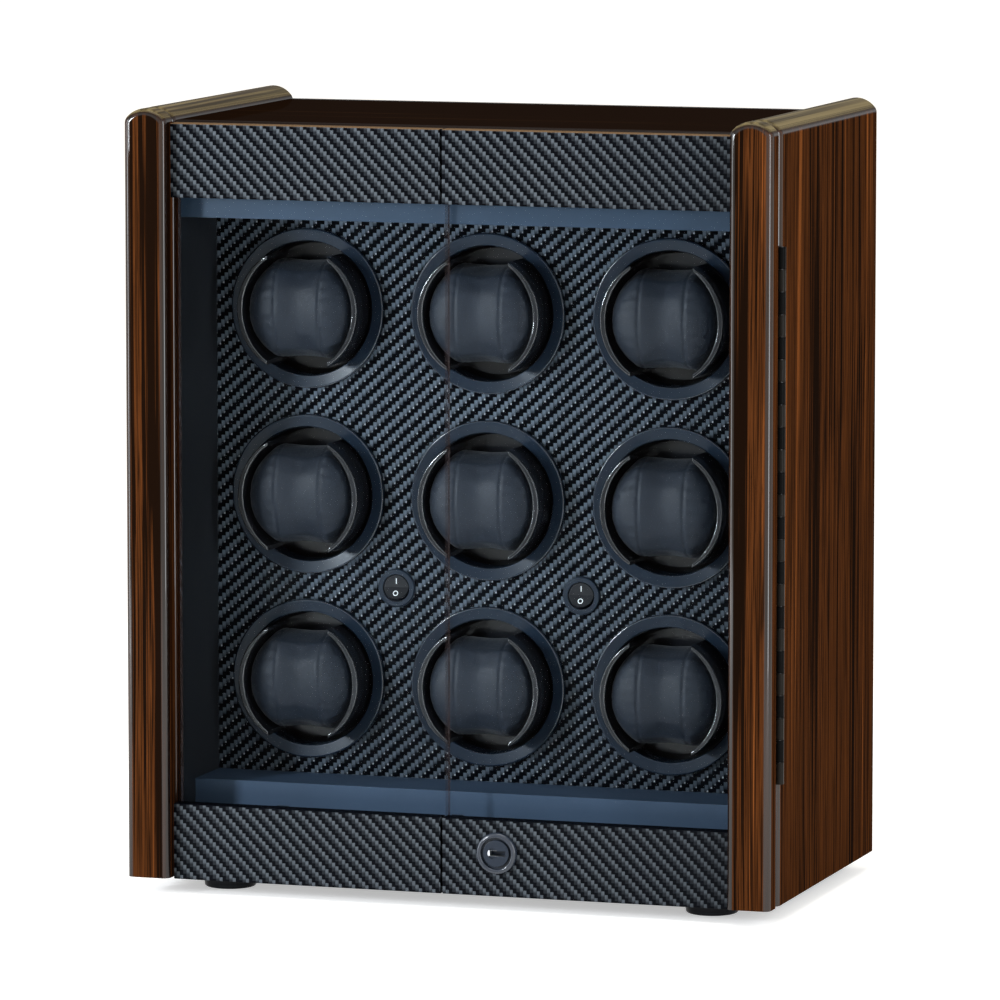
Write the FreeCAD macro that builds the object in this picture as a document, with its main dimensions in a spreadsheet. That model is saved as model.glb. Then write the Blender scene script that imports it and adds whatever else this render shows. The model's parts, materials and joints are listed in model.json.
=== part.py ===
import FreeCAD, Part
import math
import os
import re
import Sketcher

# A watch winder cabinet: arched side boards, two glass doors on piano hinges, and a panel of
# nine turning cups that each hold a leather cushion. Millimetres, +Z up, the doors face -Y.
# The origin is under the middle of the cabinet, on the surface that the feet stand on.

SIZES = [
    ("cabinet_width", 387.0, "over the outer faces of the stiles and side boards"),
    ("cabinet_depth", 221.5, "door front to back face"),
    ("body_height", 446.0, "bottom of the boards to the crown of the arches"),
    ("foot_height", 10.0, "under the boards"),
    ("foot_diameter", 32.0, "where it meets the base"),
    ("foot_taper", 1.0, "loss of radius down to the floor"),
    ("foot_round", 1.5, "edge that meets the floor"),
    ("foot_side_inset", 47.0, "outer face to foot centre"),
    ("foot_end_inset", 46.0, "front or back to foot centre"),
    ("board_thickness", 18.0, "top and base"),
    ("side_thickness", 24.5, "side boards"),
    ("arch_rise", 8.5, "crown above the upright sides"),
    ("arch_corner", 5.0, "radius where the arch runs into the sides"),
    ("edge_round", 4.0, "face edges of stiles and side boards"),
    ("top_drop", 7.5, "crown to the top board's surface"),
    ("top_round", 2.0, "front edge of the top board"),
    ("back_thickness", 6.0, "back panel"),
    ("stile_width", 25.5, "door stile across the front"),
    ("stile_thickness", 16.5, "door stile front to back"),
    ("rail_height", 42.7, "top and bottom rails"),
    ("rail_thickness", 10.0, "front to back"),
    ("rail_setback", 9.5, "behind the stile front"),
    ("rail_drop", 8.7, "crown to the top of the top rail"),
    ("rail_round", 0.8, "front edges of the rails"),
    ("rail_reach", 1.5, "bottom rails below the boards"),
    ("meeting_offset", -4.6, "where the doors meet, from the middle"),
    ("meeting_gap", 1.5, "between the doors"),
    ("frame_clearance", 1.5, "back of the rails to the fixed boards"),
    ("glass_thickness", 4.0, "panes"),
    ("glass_overlap", 8.0, "behind each rail"),
    ("glass_side_gap", 0.7, "pane to stile face"),
    ("glass_clearance", 1.5, "behind the panes"),
    ("clip_width", 7.0, "glass clips"),
    ("clip_foot", 6.0, "part of a clip that is fixed to the rail"),
    ("clip_lip", 7.8, "part of a clip that laps the pane"),
    ("clip_thickness", 0.8, "lip of a clip"),
    ("left_clip_inset", 100.6, "meeting edge to the left door's clips"),
    ("right_clip_inset", 4.5, "meeting edge to the right door's clips"),
    ("hinge_gap", 1.6, "stile back to side board front"),
    ("hinge_standoff", 0.8, "pin axis outside the outer face"),
    ("hinge_rise", 70.5, "bottom of the boards to the first knuckle"),
    ("knuckle_count", 24, "both leaves together"),
    ("knuckle_pitch", 12.7, "one knuckle and its gap"),
    ("knuckle_gap", 0.3, "between neighbours"),
    ("knuckle_diameter", 5.0, "outside"),
    ("pin_diameter", 2.2, "hinge pin"),
    ("pin_clearance", 0.06, "radial, pin in knuckle"),
    ("leaf_thickness", 0.65, "hinge leaves"),
    ("leaf_reach", 14.0, "pin axis to a leaf's inner edge"),
    ("leaf_clearance", 0.4, "leaf to the other leaf's knuckles"),
    ("lining_thickness", 1.5, "side linings"),
    ("trim_thickness", 3.0, "header and plinth boards"),
    ("header_drop", 63.7, "crown to the header's lower edge"),
    ("plinth_height", 52.5, "bottom of the boards to the plinth's top"),
    ("plinth_setback", 44.4, "behind the stile front"),
    ("panel_setback", 84.0, "rotor panel behind the stile front"),
    ("panel_thickness", 8.0, "rotor panel"),
    ("margin_ratio", 0.62, "space beside the outer rings, as a part of the space between rings"),
    ("ring_diameter", 93.4, "bezel ring outside"),
    ("ring_bore", 78.8, "bezel ring inside"),
    ("ring_depth", 4.0, "in front of the rotor panel"),
    ("ring_dish", 1.3, "fall of the ring's face from its rim to its bore"),
    ("ring_outer_round", 0.9, "bezel ring's front outer edge"),
    ("ring_inner_round", 0.6, "bezel ring's front inner edge"),
    ("sleeve_wall", 2.0, "bezel ring's sleeve in the panel"),
    ("sleeve_depth", 12.0, "behind the panel's face"),
    ("sleeve_clearance", 0.3, "radial, sleeve in its hole"),
    ("cup_diameter", 73.6, "rotor cup"),
    ("cup_depth", 38.0, "tips of the jaws to the cup's floor"),
    ("cup_floor", 4.0, "thickness"),
    ("jaw_reach", 22.0, "in front of the rotor panel"),
    ("jaw_wall", 3.4, "at the middle of a jaw"),
    ("jaw_taper", 3.0, "shift of each bore circle that thins the jaws to their ends"),
    ("jaw_round", 0.7, "tip edges"),
    ("strap_gap", 36.8, "between the jaws"),
    ("hub_diameter", 22.0, "behind the cup"),
    ("hub_length", 5.0, "behind the cup"),
    ("spindle_diameter", 10.0, "cup's spindle"),
    ("spindle_clearance", 0.08, "radial, spindle in the motor board"),
    ("spindle_end_gap", 0.5, "end of the spindle to the bottom of its socket"),
    ("motor_board_gap", 8.0, "behind the cups"),
    ("motor_board_thickness", 6.0, "board"),
    ("gearbox_diameter", 37.0, "gear motor"),
    ("gearbox_length", 22.0, "gear motor"),
    ("socket_depth", 10.0, "spindle socket in the gear motor"),
    ("motor_diameter", 24.4, "motor can"),
    ("motor_length", 30.8, "motor can"),
    ("cushion_gap", 1.0, "cheek to jaw"),
    ("cushion_seat", 0.4, "cushion to the cup's floor"),
    ("cushion_crown", 0.6, "cushion front in front of the jaw tips"),
    ("cushion_height", 58.0, "at the cheeks"),
    ("strap_channel", 1.5, "depth of the strap's channel round the cushion"),
    ("strap_channel_width", 26, "between the cheeks"),
    ("cushion_corner", 0.84, "half height at the front and back corners, as a part of the largest"),
    ("cushion_fall", 0.16, "crown of the front, as a part of the half height"),
    ("cheek_fall", 8.0, "front of a cheek's point behind the crown"),
    ("cheek_lift", 6.0, "back of a cheek's point in front of the cushion's back"),
    ("cheek_curve", 1.5, "power by which a cheek's front falls away"),
    ("cheek_end", 10.0, "degrees from level to the flat end of a cheek, about its jaw's middle"),
    ("switch_diameter", 22.4, "bezel of a switch"),
    ("switch_proud", 2.2, "bezel in front of the rotor panel"),
    ("switch_round", 1.0, "bezel edge"),
    ("switch_barrel", 19.4, "through the panel"),
    ("switch_depth", 18.0, "behind the panel's face"),
    ("switch_clearance", 0.2, "radial, switch in its hole"),
    ("switch_shift_out", 1.2, "switch outward of halfway between columns"),
    ("switch_shift_up", 1.0, "switch above halfway between rows"),
    ("rocker_diameter", 15.6, "round rocker"),
    ("rocker_clearance", 0.3, "radial, rocker in its bezel"),
    ("rocker_tilt", 12.0, "degrees each way"),
    ("rocker_web", 2.2, "rocker face in front of its pivot, at the middle"),
    ("rocker_back", 3.5, "behind the pivot"),
    ("rocker_inset", 2.6, "pivot behind the bezel's face"),
    ("trunnion_diameter", 2.4, "rocker pivot pins"),
    ("trunnion_length", 1.2, "beyond the rocker's side"),
    ("trunnion_clearance", 0.08, "radial"),
    ("lock_inset", 33.7, "meeting line to lock centre"),
    ("lock_height", 23.8, "bottom of the boards to lock centre"),
    ("lock_diameter", 24.0, "front flange"),
    ("lock_flange", 3.2, "in front of the rail"),
    ("lock_round", 1.9, "flange's outer edge"),
    ("groove_diameter", 18.3, "groove round the plug"),
    ("groove_depth", 2.6, "behind the flange face"),
    ("groove_round", 0.8, "flange's inner edge"),
    ("barrel_diameter", 19.0, "lock barrel through the rail"),
    ("barrel_clearance", 0.2, "radial, barrel in the rail"),
    ("barrel_length", 13.0, "behind the rail's face"),
    ("plug_diameter", 15.6, "turning plug"),
    ("plug_clearance", 0.08, "radial"),
    ("plug_recess", 0.7, "plug face behind the flange face"),
    ("plug_round", 0.5, "plug's front edge"),
    ("keyway_length", 9.6, "across the plug"),
    ("keyway_width", 3.2, "keyway"),
    ("keyway_depth", 7.0, "keyway"),
    ("keyway_shift", 0.8, "keyway's middle to one side of the plug's"),
    ("dish_diameter", 6.2, "round dish that leads a key in"),
    ("dish_depth", 1.0, "dish in the plug's face"),
    ("dish_shift", 2.0, "dish to the other side of the plug's middle"),
    ("cam_stem", 6.0, "diameter of the plug's stem"),
    ("cam_gap", 1.5, "barrel end to cam"),
    ("cam_thickness", 2.0, "plate"),
    ("cam_width", 10.0, "plate"),
    ("cam_reach", 18.0, "lock axis to the cam's tip"),
    ("strike_thickness", 2.0, "plate on the base's front edge"),
    ("strike_width", 10.0, "across"),
    ("strike_top", 28.0, "bottom of the boards to the strike's top"),
    ("strike_foot", 4.0, "bottom of the boards to the strike's foot"),
    ("strike_inset", 2.6, "cam tip to the strike's far side"),
    ("catch_width", 12.0, "door magnets and their plates"),
    ("catch_height", 8.0, "door magnets and their plates"),
    ("catch_inset", 22.0, "meeting line to a magnet's middle"),
    ("catch_drop", 1.0, "under the top board"),
    ("plate_thickness", 1.2, "catch plate"),
    ("plate_gap", 0.3, "magnet to plate"),
    ("jack_diameter", 11.0, "power jack through the back"),
    ("jack_flange", 14.0, "power jack's face"),
    ("jack_recess", 2.0, "sunk in the back"),
    ("jack_length", 14.0, "front to back"),
    ("jack_bore", 5.5, "for the plug"),
    ("jack_bore_depth", 9.0, "for the plug"),
    ("jack_pin", 2.1, "contact pin"),
    ("jack_inset", 49.0, "inner face of the right side board to jack"),
    ("jack_height", 40.0, "bottom of the boards to jack"),
    ("circuit_width", 84.0, "control board"),
    ("circuit_height", 56.0, "control board"),
    ("circuit_thickness", 1.6, "control board"),
    ("circuit_post", 6.0, "length of its posts"),
    ("circuit_post_diameter", 6.0, "its posts"),
    ("circuit_part_height", 9.0, "tallest parts on it"),
    ("circuit_rise", 62.0, "bottom of the boards to its middle"),
    ("driver_width", 12.0, "motor drivers on the control board"),
    ("driver_height", 17.0, "motor drivers on the control board"),
    ("driver_spacing", 18.0, "between the motor drivers"),
    ("screw_head", 7.0, "countersunk back screws"),
    ("screw_shank", 3.5, "countersunk back screws"),
    ("screw_sink", 2.2, "depth of a screw's head"),
    ("screw_spread", 130.0, "between back screws"),
    ("recess_length", 4.2, "cross recess of a screw"),
    ("recess_width", 0.9, "cross recess of a screw"),
    ("recess_depth", 1.2, "cross recess of a screw"),
]

# Places worked out from the sizes, each written once.
PLACES = {
    "half_width": "cabinet_width / 2",
    "front": "-cabinet_depth / 2",
    "rear": "cabinet_depth / 2",
    "bottom": "foot_height",
    "crown": "foot_height + body_height",
    "side_inner": "half_width - side_thickness",
    "stile_inner": "half_width - stile_width",
    "lining_inner": "side_inner - lining_thickness",
    "stile_back": "front + stile_thickness",
    "side_front": "stile_back + hinge_gap",
    "hinge_x": "half_width + hinge_standoff",
    "hinge_y": "stile_back + hinge_gap / 2",
    "hinge_z": "bottom + hinge_rise",
    "hinge_length": "knuckle_count * knuckle_pitch",
    "rail_front": "front + rail_setback",
    "rail_back": "rail_front + rail_thickness",
    "top_rail_low": "crown - rail_drop - rail_height",
    "bottom_rail_low": "bottom - rail_reach",
    "bottom_rail_high": "bottom + rail_height",
    "left_meet": "meeting_offset - meeting_gap / 2",
    "right_meet": "meeting_offset + meeting_gap / 2",
    "glass_back": "rail_back + glass_thickness",
    "glass_low": "bottom_rail_high - glass_overlap",
    "glass_high": "top_rail_low + glass_overlap",
    "lining_front": "glass_back + glass_clearance",
    "top_surface": "crown - top_drop",
    "top_under": "top_surface - board_thickness",
    "base_top": "bottom + board_thickness",
    "top_front": "rail_back + frame_clearance",
    "base_front": "top_front + strike_thickness",
    "back_front": "rear - back_thickness",
    "header_low": "crown - header_drop",
    "plinth_top": "bottom + plinth_height",
    "plinth_front": "front + plinth_setback",
    "panel_front": "front + panel_setback",
    "panel_back": "panel_front + panel_thickness",
    "ring_radius": "ring_diameter / 2",
    "ring_margin": "margin_ratio * ring_diameter - ring_radius",
    "rotor_spacing": "(lining_inner + ring_margin) / (1 + margin_ratio)",
    "rotor_rise": "((header_low - plinth_top) / 2 + ring_margin) / (1 + margin_ratio)",
    "rotor_z": "(header_low + plinth_top) / 2",
    "sleeve_radius": "ring_bore / 2 + sleeve_wall",
    "cup_radius": "cup_diameter / 2",
    "bore_radius": "cup_radius - jaw_wall + jaw_taper",
    "cup_tip": "panel_front - jaw_reach",
    "cup_back": "cup_tip + cup_depth + cup_floor",
    "motor_front": "cup_back + motor_board_gap",
    "motor_back": "motor_front + motor_board_thickness",
    "switch_spread": "rotor_spacing / 2 + switch_shift_out",
    "switch_z": "rotor_z - rotor_rise / 2 + switch_shift_up",
    "switch_face": "panel_front - switch_proud",
    "rocker_y": "switch_face + rocker_inset",
    "rocker_radius": "rocker_diameter / 2",
    "lock_x": "meeting_offset + lock_inset",
    "lock_z": "bottom + lock_height",
    "lock_face": "rail_front - lock_flange",
    "barrel_end": "rail_front + barrel_length",
    "cam_front": "barrel_end + cam_gap",
    "catch_low": "top_under - catch_drop - catch_height",
    "magnet_front": "rail_back + plate_thickness + plate_gap",
    "jack_x": "side_inner - jack_inset",
    "jack_z": "bottom + jack_height",
    "circuit_front": "back_front - circuit_post - circuit_thickness",
    "circuit_z": "bottom + circuit_rise",
}

NEAR = 1e-4
CHEEK_STEPS = 6
COLUMNS = {"left": -1, "middle": 0, "right": 1}
ROWS = {"top": 1, "middle": 0, "bottom": -1}

doc = FreeCAD.newDocument("watch_winder")
sheet = doc.addObject("Spreadsheet::Sheet", "Sizes")
for row_number, (size_name, size_value, size_note) in enumerate(SIZES, start=1):
    sheet.set(f"A{row_number}", size_name)
    sheet.set(f"B{row_number}", str(size_value))
    sheet.set(f"C{row_number}", size_note)
    sheet.setAlias(f"B{row_number}", size_name)
gauge = doc.addObject("App::FeaturePython", "Gauge")
gauge.addProperty("App::PropertyFloat", "Reading", "Gauge", "value of the last expression read")
doc.recompute()

NAMES = {size_name for size_name, _, _ in SIZES}
WORD = re.compile(r"[a-z][a-z_]*")
subparts = []


def formula(text):
    """Spell out the places in an expression and point each size at its cell."""
    def spell(match):
        word = match.group(0)
        if word in PLACES:
            return f"({formula(PLACES[word])})"
        return f"Sizes.{word}" if word in NAMES else word
    return WORD.sub(spell, str(text))


def size(name):
    """A size as a number."""
    return float(sheet.get(name))


def bind(thing, **properties):
    """Tie properties to expressions over the sizes."""
    for name, text in properties.items():
        thing.setExpression(name, formula(text))


def put(thing, x="0", y="0", z="0"):
    """Tie a thing's place to expressions."""
    for axis, text in zip("xyz", (x, y, z)):
        thing.setExpression(f".Placement.Base.{axis}", formula(text))


AXES = {
    "x": FreeCAD.Rotation(FreeCAD.Vector(0, 1, 0), 90),
    "y": FreeCAD.Rotation(FreeCAD.Vector(1, 0, 0), -90),
    "z": FreeCAD.Rotation(),
}


def aim(thing, axis):
    """Turn a primitive whose own axis is Z so that it runs along another axis."""
    thing.Placement = FreeCAD.Placement(FreeCAD.Vector(), AXES[axis])


def keep(thing, label):
    """Name a finished sub-part."""
    thing.Label = label
    subparts.append(thing)
    return thing


def new_body(name):
    return doc.addObject("PartDesign::Body", name)


def add_box(body, name, at, extent, cuts=False):
    """A block in a body, from its low corner."""
    kind = "SubtractiveBox" if cuts else "AdditiveBox"
    block = body.newObject(f"PartDesign::{kind}", name)
    bind(block, Length=extent[0], Width=extent[1], Height=extent[2])
    put(block, *at)
    return block


def add_round(body, name, at, axis, radius, height, cuts=False):
    """A round boss or hole in a body, from the middle of its first end."""
    kind = "SubtractiveCylinder" if cuts else "AdditiveCylinder"
    rod = body.newObject(f"PartDesign::{kind}", name)
    bind(rod, Radius=radius, Height=height)
    aim(rod, axis)
    put(rod, *at)
    return rod


def straight(shape, axis, **ends):
    """Numbers of the straight edges along an axis that lie at the named ends of a shape's box."""
    box = shape.BoundBox
    limits = {"x": (box.XMin, box.XMax), "y": (box.YMin, box.YMax), "z": (box.ZMin, box.ZMax)}

    def chosen(edge):
        if not isinstance(edge.Curve, Part.Line):
            return False
        if abs(abs(getattr(edge.Curve.Direction, axis)) - 1) > NEAR:
            return False
        return all(abs(getattr(edge.CenterOfMass, side) - limits[side][end == "max"]) < NEAR
                   for side, end in ends.items())
    return [index for index, edge in enumerate(shape.Edges, start=1) if chosen(edge)]


def flat_at(shape, axis, place):
    """Numbers of the edges that lie in one plane across an axis."""
    low, high = f"{axis.upper()}Min", f"{axis.upper()}Max"
    return [index for index, edge in enumerate(shape.Edges, start=1)
            if abs(getattr(edge.BoundBox, low) - place) < NEAR
            and abs(getattr(edge.BoundBox, high) - place) < NEAR]


def circles(shape, radius, y):
    """Numbers of the round edges about Y of one radius at one depth."""
    return [index for index in flat_at(shape, "y", y)
            if isinstance(shape.Edges[index - 1].Curve, Part.Circle)
            and abs(shape.Edges[index - 1].Curve.Radius - radius) < NEAR]


def round_edges(body, name, radius, pick):
    """Round the edges of a body's last feature that a function of its shape picks out."""
    doc.recompute()
    base = body.Tip
    picked = pick(base.Shape)
    if not picked:
        raise RuntimeError(f"{name}: no edge to round")
    fillet = body.newObject("PartDesign::Fillet", name)
    fillet.Base = (base, [f"Edge{index}" for index in picked])
    bind(fillet, Radius=radius)
    return fillet


def plane_of(body, role):
    return next(item for item in body.Origin.OriginFeatures if item.Role == role)


def outline(body, name, role, corners, through=None):
    """A closed sketch through named corners; an edge listed in through is an arc via a point."""
    through = through or {}
    sketch = body.newObject("Sketcher::SketchObject", name)
    sketch.AttachmentSupport = [(plane_of(body, role), "")]
    sketch.MapMode = "FlatFace"
    points = [FreeCAD.Vector(number(x), number(y), 0) for x, y in corners]
    count = len(points)
    for index in range(count):
        start, end = points[index], points[(index + 1) % count]
        if index in through:
            via = FreeCAD.Vector(*(number(text) for text in through[index]), 0)
            sketch.addGeometry(Part.Arc(start, via, end))
        else:
            sketch.addGeometry(Part.LineSegment(start, end))
    ends = [edge_ends(sketch, index, points[index]) for index in range(count)]
    for index in range(count):
        following = (index + 1) % count
        sketch.addConstraint(Sketcher.Constraint(
            "Coincident", index, ends[index][1], following, ends[following][0]))
    for index, corner in enumerate(corners):
        pin_down(sketch, index, ends[index][0], corner)
    for index, via in through.items():
        middle = sketch.addGeometry(Part.Point(FreeCAD.Vector(*(number(t) for t in via), 0)), True)
        sketch.addConstraint(Sketcher.Constraint("PointOnObject", middle, 1, index))
        pin_down(sketch, middle, 1, via)
    return sketch


def edge_ends(sketch, index, start):
    """The numbers of an edge's first and last point, because an arc may run either way round."""
    first = sketch.getPoint(index, 1)
    return (1, 2) if first.distanceToPoint(start) < NEAR else (2, 1)


def pin_down(sketch, index, point, corner):
    """Hold a sketch point at a place given by expressions."""
    for kind, text in zip(("DistanceX", "DistanceY"), corner):
        row = sketch.addConstraint(Sketcher.Constraint(kind, -1, 1, index, point, number(text)))
        sketch.setExpression(f"Constraints[{row}]", formula(text))


def number(text):
    """The value of an expression over the sizes."""
    gauge.setExpression("Reading", formula(text))
    gauge.recompute()
    return gauge.Reading


def board(name, at, extent):
    """A plain board as a body, from its low corner."""
    body = new_body(name)
    add_box(body, f"{name}_core", ("0", "0", "0"), extent)
    put(body, *at)
    return body


def solid_box(name, at, extent):
    block = doc.addObject("Part::Box", name)
    bind(block, Length=extent[0], Width=extent[1], Height=extent[2])
    put(block, *at)
    return block


def solid_round(name, at, axis, radius, height):
    rod = doc.addObject("Part::Cylinder", name)
    bind(rod, Radius=radius, Height=height)
    aim(rod, axis)
    put(rod, *at)
    return rod


def joined(name, shapes):
    union = doc.addObject("Part::MultiFuse", name)
    union.Shapes = shapes
    return union


def shared(name, shapes):
    overlap = doc.addObject("Part::MultiCommon", name)
    overlap.Shapes = shapes
    return overlap


def less(name, base, tool):
    rest = doc.addObject("Part::Cut", name)
    rest.Base = base
    rest.Tool = tool
    return rest


def copy_at(name, master, x, y, z):
    """A copy of a master shape at its own place."""
    copy = doc.addObject("Part::Compound", name)
    copy.Links = [master]
    put(copy, x, y, z)
    return copy


def group(name, members):
    """Like pieces that share one node."""
    bundle = doc.addObject("Part::Compound", name)
    bundle.Links = members
    return keep(bundle, name)


def rotor_places():
    """Each rotor's name and place across the panel."""
    for row, up in ROWS.items():
        for column, across in COLUMNS.items():
            yield f"{row}_{column}", f"{across} * rotor_spacing", f"rotor_z + {up} * rotor_rise"


def arched_board(name, width, depth):
    """An upright board with an arched top, centred on X, its front at Y 0 and its foot at Z 0."""
    body = new_body(name)
    half = f"({width}) / 2"
    spring = "(body_height - arch_rise)"
    inset = f"({half} - arch_corner)"
    radius = f"((arch_rise ^ 2 + ({half}) ^ 2 - 2 * {half} * arch_corner) / (2 * (arch_rise - arch_corner)))"
    lean = f"atan(({radius} - arch_rise) / {inset})"
    share = f"({radius} / ({radius} - arch_corner))"
    haunch = (f"{inset} * {share}", f"body_height - {radius} + ({radius} - arch_rise) * {share}")
    bend = (f"{inset} + arch_corner * cos({lean} / 2)", f"{spring} + arch_corner * sin({lean} / 2)")
    corners = [
        (f"-{half}", "0"),
        (half, "0"),
        (half, spring),
        haunch,
        (f"-({haunch[0]})", haunch[1]),
        (f"-{half}", spring),
    ]
    arcs = {2: bend, 3: ("0", "body_height"), 4: (f"-({bend[0]})", bend[1])}
    sketch = outline(body, f"{name}_face", "XZ_Plane", corners, arcs)
    pad = body.newObject("PartDesign::Pad", f"{name}_pad")
    pad.Profile = sketch
    pad.Reversed = True
    bind(pad, Length=depth)
    round_edges(body, f"{name}_front", "edge_round", front_edges)
    return body


def front_edges(shape):
    """Numbers of the edges round a board's front, apart from its foot."""
    return [index for index in flat_at(shape, "y", shape.BoundBox.YMin)
            if shape.Edges[index - 1].BoundBox.ZMax > NEAR]


def side_boards():
    """The two sides of the cabinet; their front edges are rounded to clear the hinges."""
    depth = "cabinet_depth - stile_thickness - hinge_gap"
    for side, sign in (("left", -1), ("right", 1)):
        body = arched_board(f"{side}_side_panel", "side_thickness", depth)
        put(body, f"{sign} * (half_width - side_thickness / 2)", "side_front", "bottom")
        keep(body, f"{side}_side_panel")


def boards():
    """Top, base and back between the side boards."""
    inside = "2 * side_inner"
    top = board("top_panel", ("-side_inner", "top_front", "top_under"),
                (inside, "back_front - top_front", "board_thickness"))
    round_edges(top, "top_nose", "top_round",
                lambda shape: straight(shape, "x", y="min", z="max"))
    keep(top, "top_panel")
    base = board("base_panel", ("-side_inner", "base_front", "bottom"),
                 (inside, "back_front - base_front", "board_thickness"))
    keep(base, "base_panel")
    back = board("back_panel", ("-side_inner", "back_front", "bottom"),
                 (inside, "back_thickness", "top_surface - bottom"))
    jack_at = ("jack_x + side_inner", "0", "jack_height")
    add_round(back, "jack_hole", jack_at, "y", "jack_diameter / 2", "back_thickness", cuts=True)
    seat_at = (jack_at[0], "back_thickness - jack_recess", jack_at[2])
    add_round(back, "jack_seat", seat_at, "y", "jack_flange / 2", "jack_recess", cuts=True)
    for name, x, z in screw_places():
        foot = (f"side_inner + {x}", "0", f"{z} - bottom")
        add_round(back, f"{name}_hole", foot, "y", "screw_shank / 2", "back_thickness", cuts=True)
        head = (foot[0], "back_thickness - screw_sink", foot[2])
        add_screw_head(back, f"{name}_sink", head, cuts=True)
    keep(back, "back_panel")


def screw_places():
    """Each back screw's name and place, along the edges of the top and base."""
    for level, z in (("top", "top_surface - board_thickness / 2"),
                     ("base", "bottom + board_thickness / 2")):
        for index in range(3):
            yield f"{level}_screw_{index + 1}", f"{index - 1} * screw_spread", z


def add_screw_head(body, name, at, cuts=False):
    """A countersunk head, or the seat for one, that widens along Y."""
    kind = "SubtractiveCone" if cuts else "AdditiveCone"
    cone = body.newObject(f"PartDesign::{kind}", name)
    bind(cone, Radius1="screw_shank / 2", Radius2="screw_head / 2", Height="screw_sink")
    aim(cone, "y")
    put(cone, *at)


def back_screws():
    """Countersunk cross-recess screws, flush with the back."""
    screw = new_body("back_screw")
    add_round(screw, "shank", ("0", "-back_thickness", "0"), "y", "screw_shank / 2",
              "back_thickness - screw_sink")
    add_screw_head(screw, "head", ("0", "-screw_sink", "0"))
    arms = (("across", "recess_length", "recess_width"), ("upright", "recess_width", "recess_length"))
    for name, width, height in arms:
        add_box(screw, f"recess_{name}", (f"-{width} / 2", "-recess_depth", f"-{height} / 2"),
                (width, "recess_depth", height), cuts=True)
    group("back_screws", [copy_at(name, screw, x, "rear", z) for name, x, z in screw_places()])


def feet():
    """Four tapered feet under the base."""
    body = new_body("foot")
    cone = body.newObject("PartDesign::AdditiveCone", "foot_cone")
    bind(cone, Radius1="foot_diameter / 2 - foot_taper", Radius2="foot_diameter / 2",
         Height="foot_height")
    round_edges(body, "foot_edge", "foot_round", lambda shape: flat_at(shape, "z", 0))
    corners = [(across, along) for across in (-1, 1) for along in (-1, 1)]
    members = [copy_at(f"foot_{index}", body, f"{across} * (half_width - foot_side_inset)",
                       f"{along} * (rear - foot_end_inset)", "0")
               for index, (across, along) in enumerate(corners, start=1)]
    group("feet", members)


def linings():
    """Thin side linings, the header under the top and the plinth in front of the rotor panel."""
    depth = "panel_front - lining_front"
    height = "top_under - base_top"
    for side, x in (("left", "-side_inner"), ("right", "lining_inner")):
        lining = board(f"{side}_lining", (x, "lining_front", "base_top"),
                       ("lining_thickness", depth, height))
        keep(lining, f"{side}_lining")
    across = "2 * lining_inner"
    header = board("header_lining", ("-lining_inner", "lining_front", "header_low"),
                   (across, "trim_thickness", "top_under - header_low"))
    add_box(header, "header_soffit", ("0", "0", "0"), (across, depth, "trim_thickness"))
    keep(header, "header_lining")
    plinth = board("plinth_lining", ("-lining_inner", "plinth_front", "base_top"),
                   (across, "trim_thickness", "plinth_top - base_top"))
    add_box(plinth, "plinth_shelf", ("0", "0", "plinth_top - base_top - trim_thickness"),
            (across, "panel_front - plinth_front", "trim_thickness"))
    keep(plinth, "plinth_lining")


def rotor_panel():
    """The panel that the bezel rings and switches sit in."""
    panel = board("rotor_panel", ("-side_inner", "panel_front", "base_top"),
                  ("2 * side_inner", "panel_thickness", "top_under - base_top"))
    for name, x, z in rotor_places():
        add_round(panel, f"hole_{name}", (f"side_inner + {x}", "0", f"{z} - base_top"), "y",
                  "sleeve_radius + sleeve_clearance", "panel_thickness", cuts=True)
    for side, sign in (("left", -1), ("right", 1)):
        at = (f"side_inner + {sign} * switch_spread", "0", "switch_z - base_top")
        add_round(panel, f"{side}_switch_hole", at, "y",
                  "switch_barrel / 2 + switch_clearance", "panel_thickness", cuts=True)
    keep(panel, "rotor_panel")


def bezel_rings():
    """A ring round each cup: a flange on the panel with a dished face, and a sleeve through it."""
    ring = new_body("bezel_ring")
    lip = "ring_dish - ring_depth"
    corners = [
        ("ring_bore / 2", "sleeve_depth"),
        ("sleeve_radius", "sleeve_depth"),
        ("sleeve_radius", "0"),
        ("ring_radius", "0"),
        ("ring_radius", "-ring_depth"),
        ("ring_bore / 2", lip),
    ]
    sketch = outline(ring, "ring_profile", "XY_Plane", corners)
    turned = ring.newObject("PartDesign::Revolution", "ring_turned")
    turned.Profile = sketch
    turned.ReferenceAxis = (plane_of(ring, "Y_Axis"), [""])
    round_edges(ring, "ring_outside", "ring_outer_round",
                lambda shape: circles(shape, number("ring_radius"), number("-ring_depth")))
    round_edges(ring, "ring_inside", "ring_inner_round",
                lambda shape: circles(shape, number("ring_bore / 2"), number(lip)))
    group("bezel_rings", [copy_at(f"ring_{name}", ring, x, "panel_front", z)
                          for name, x, z in rotor_places()])


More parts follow.
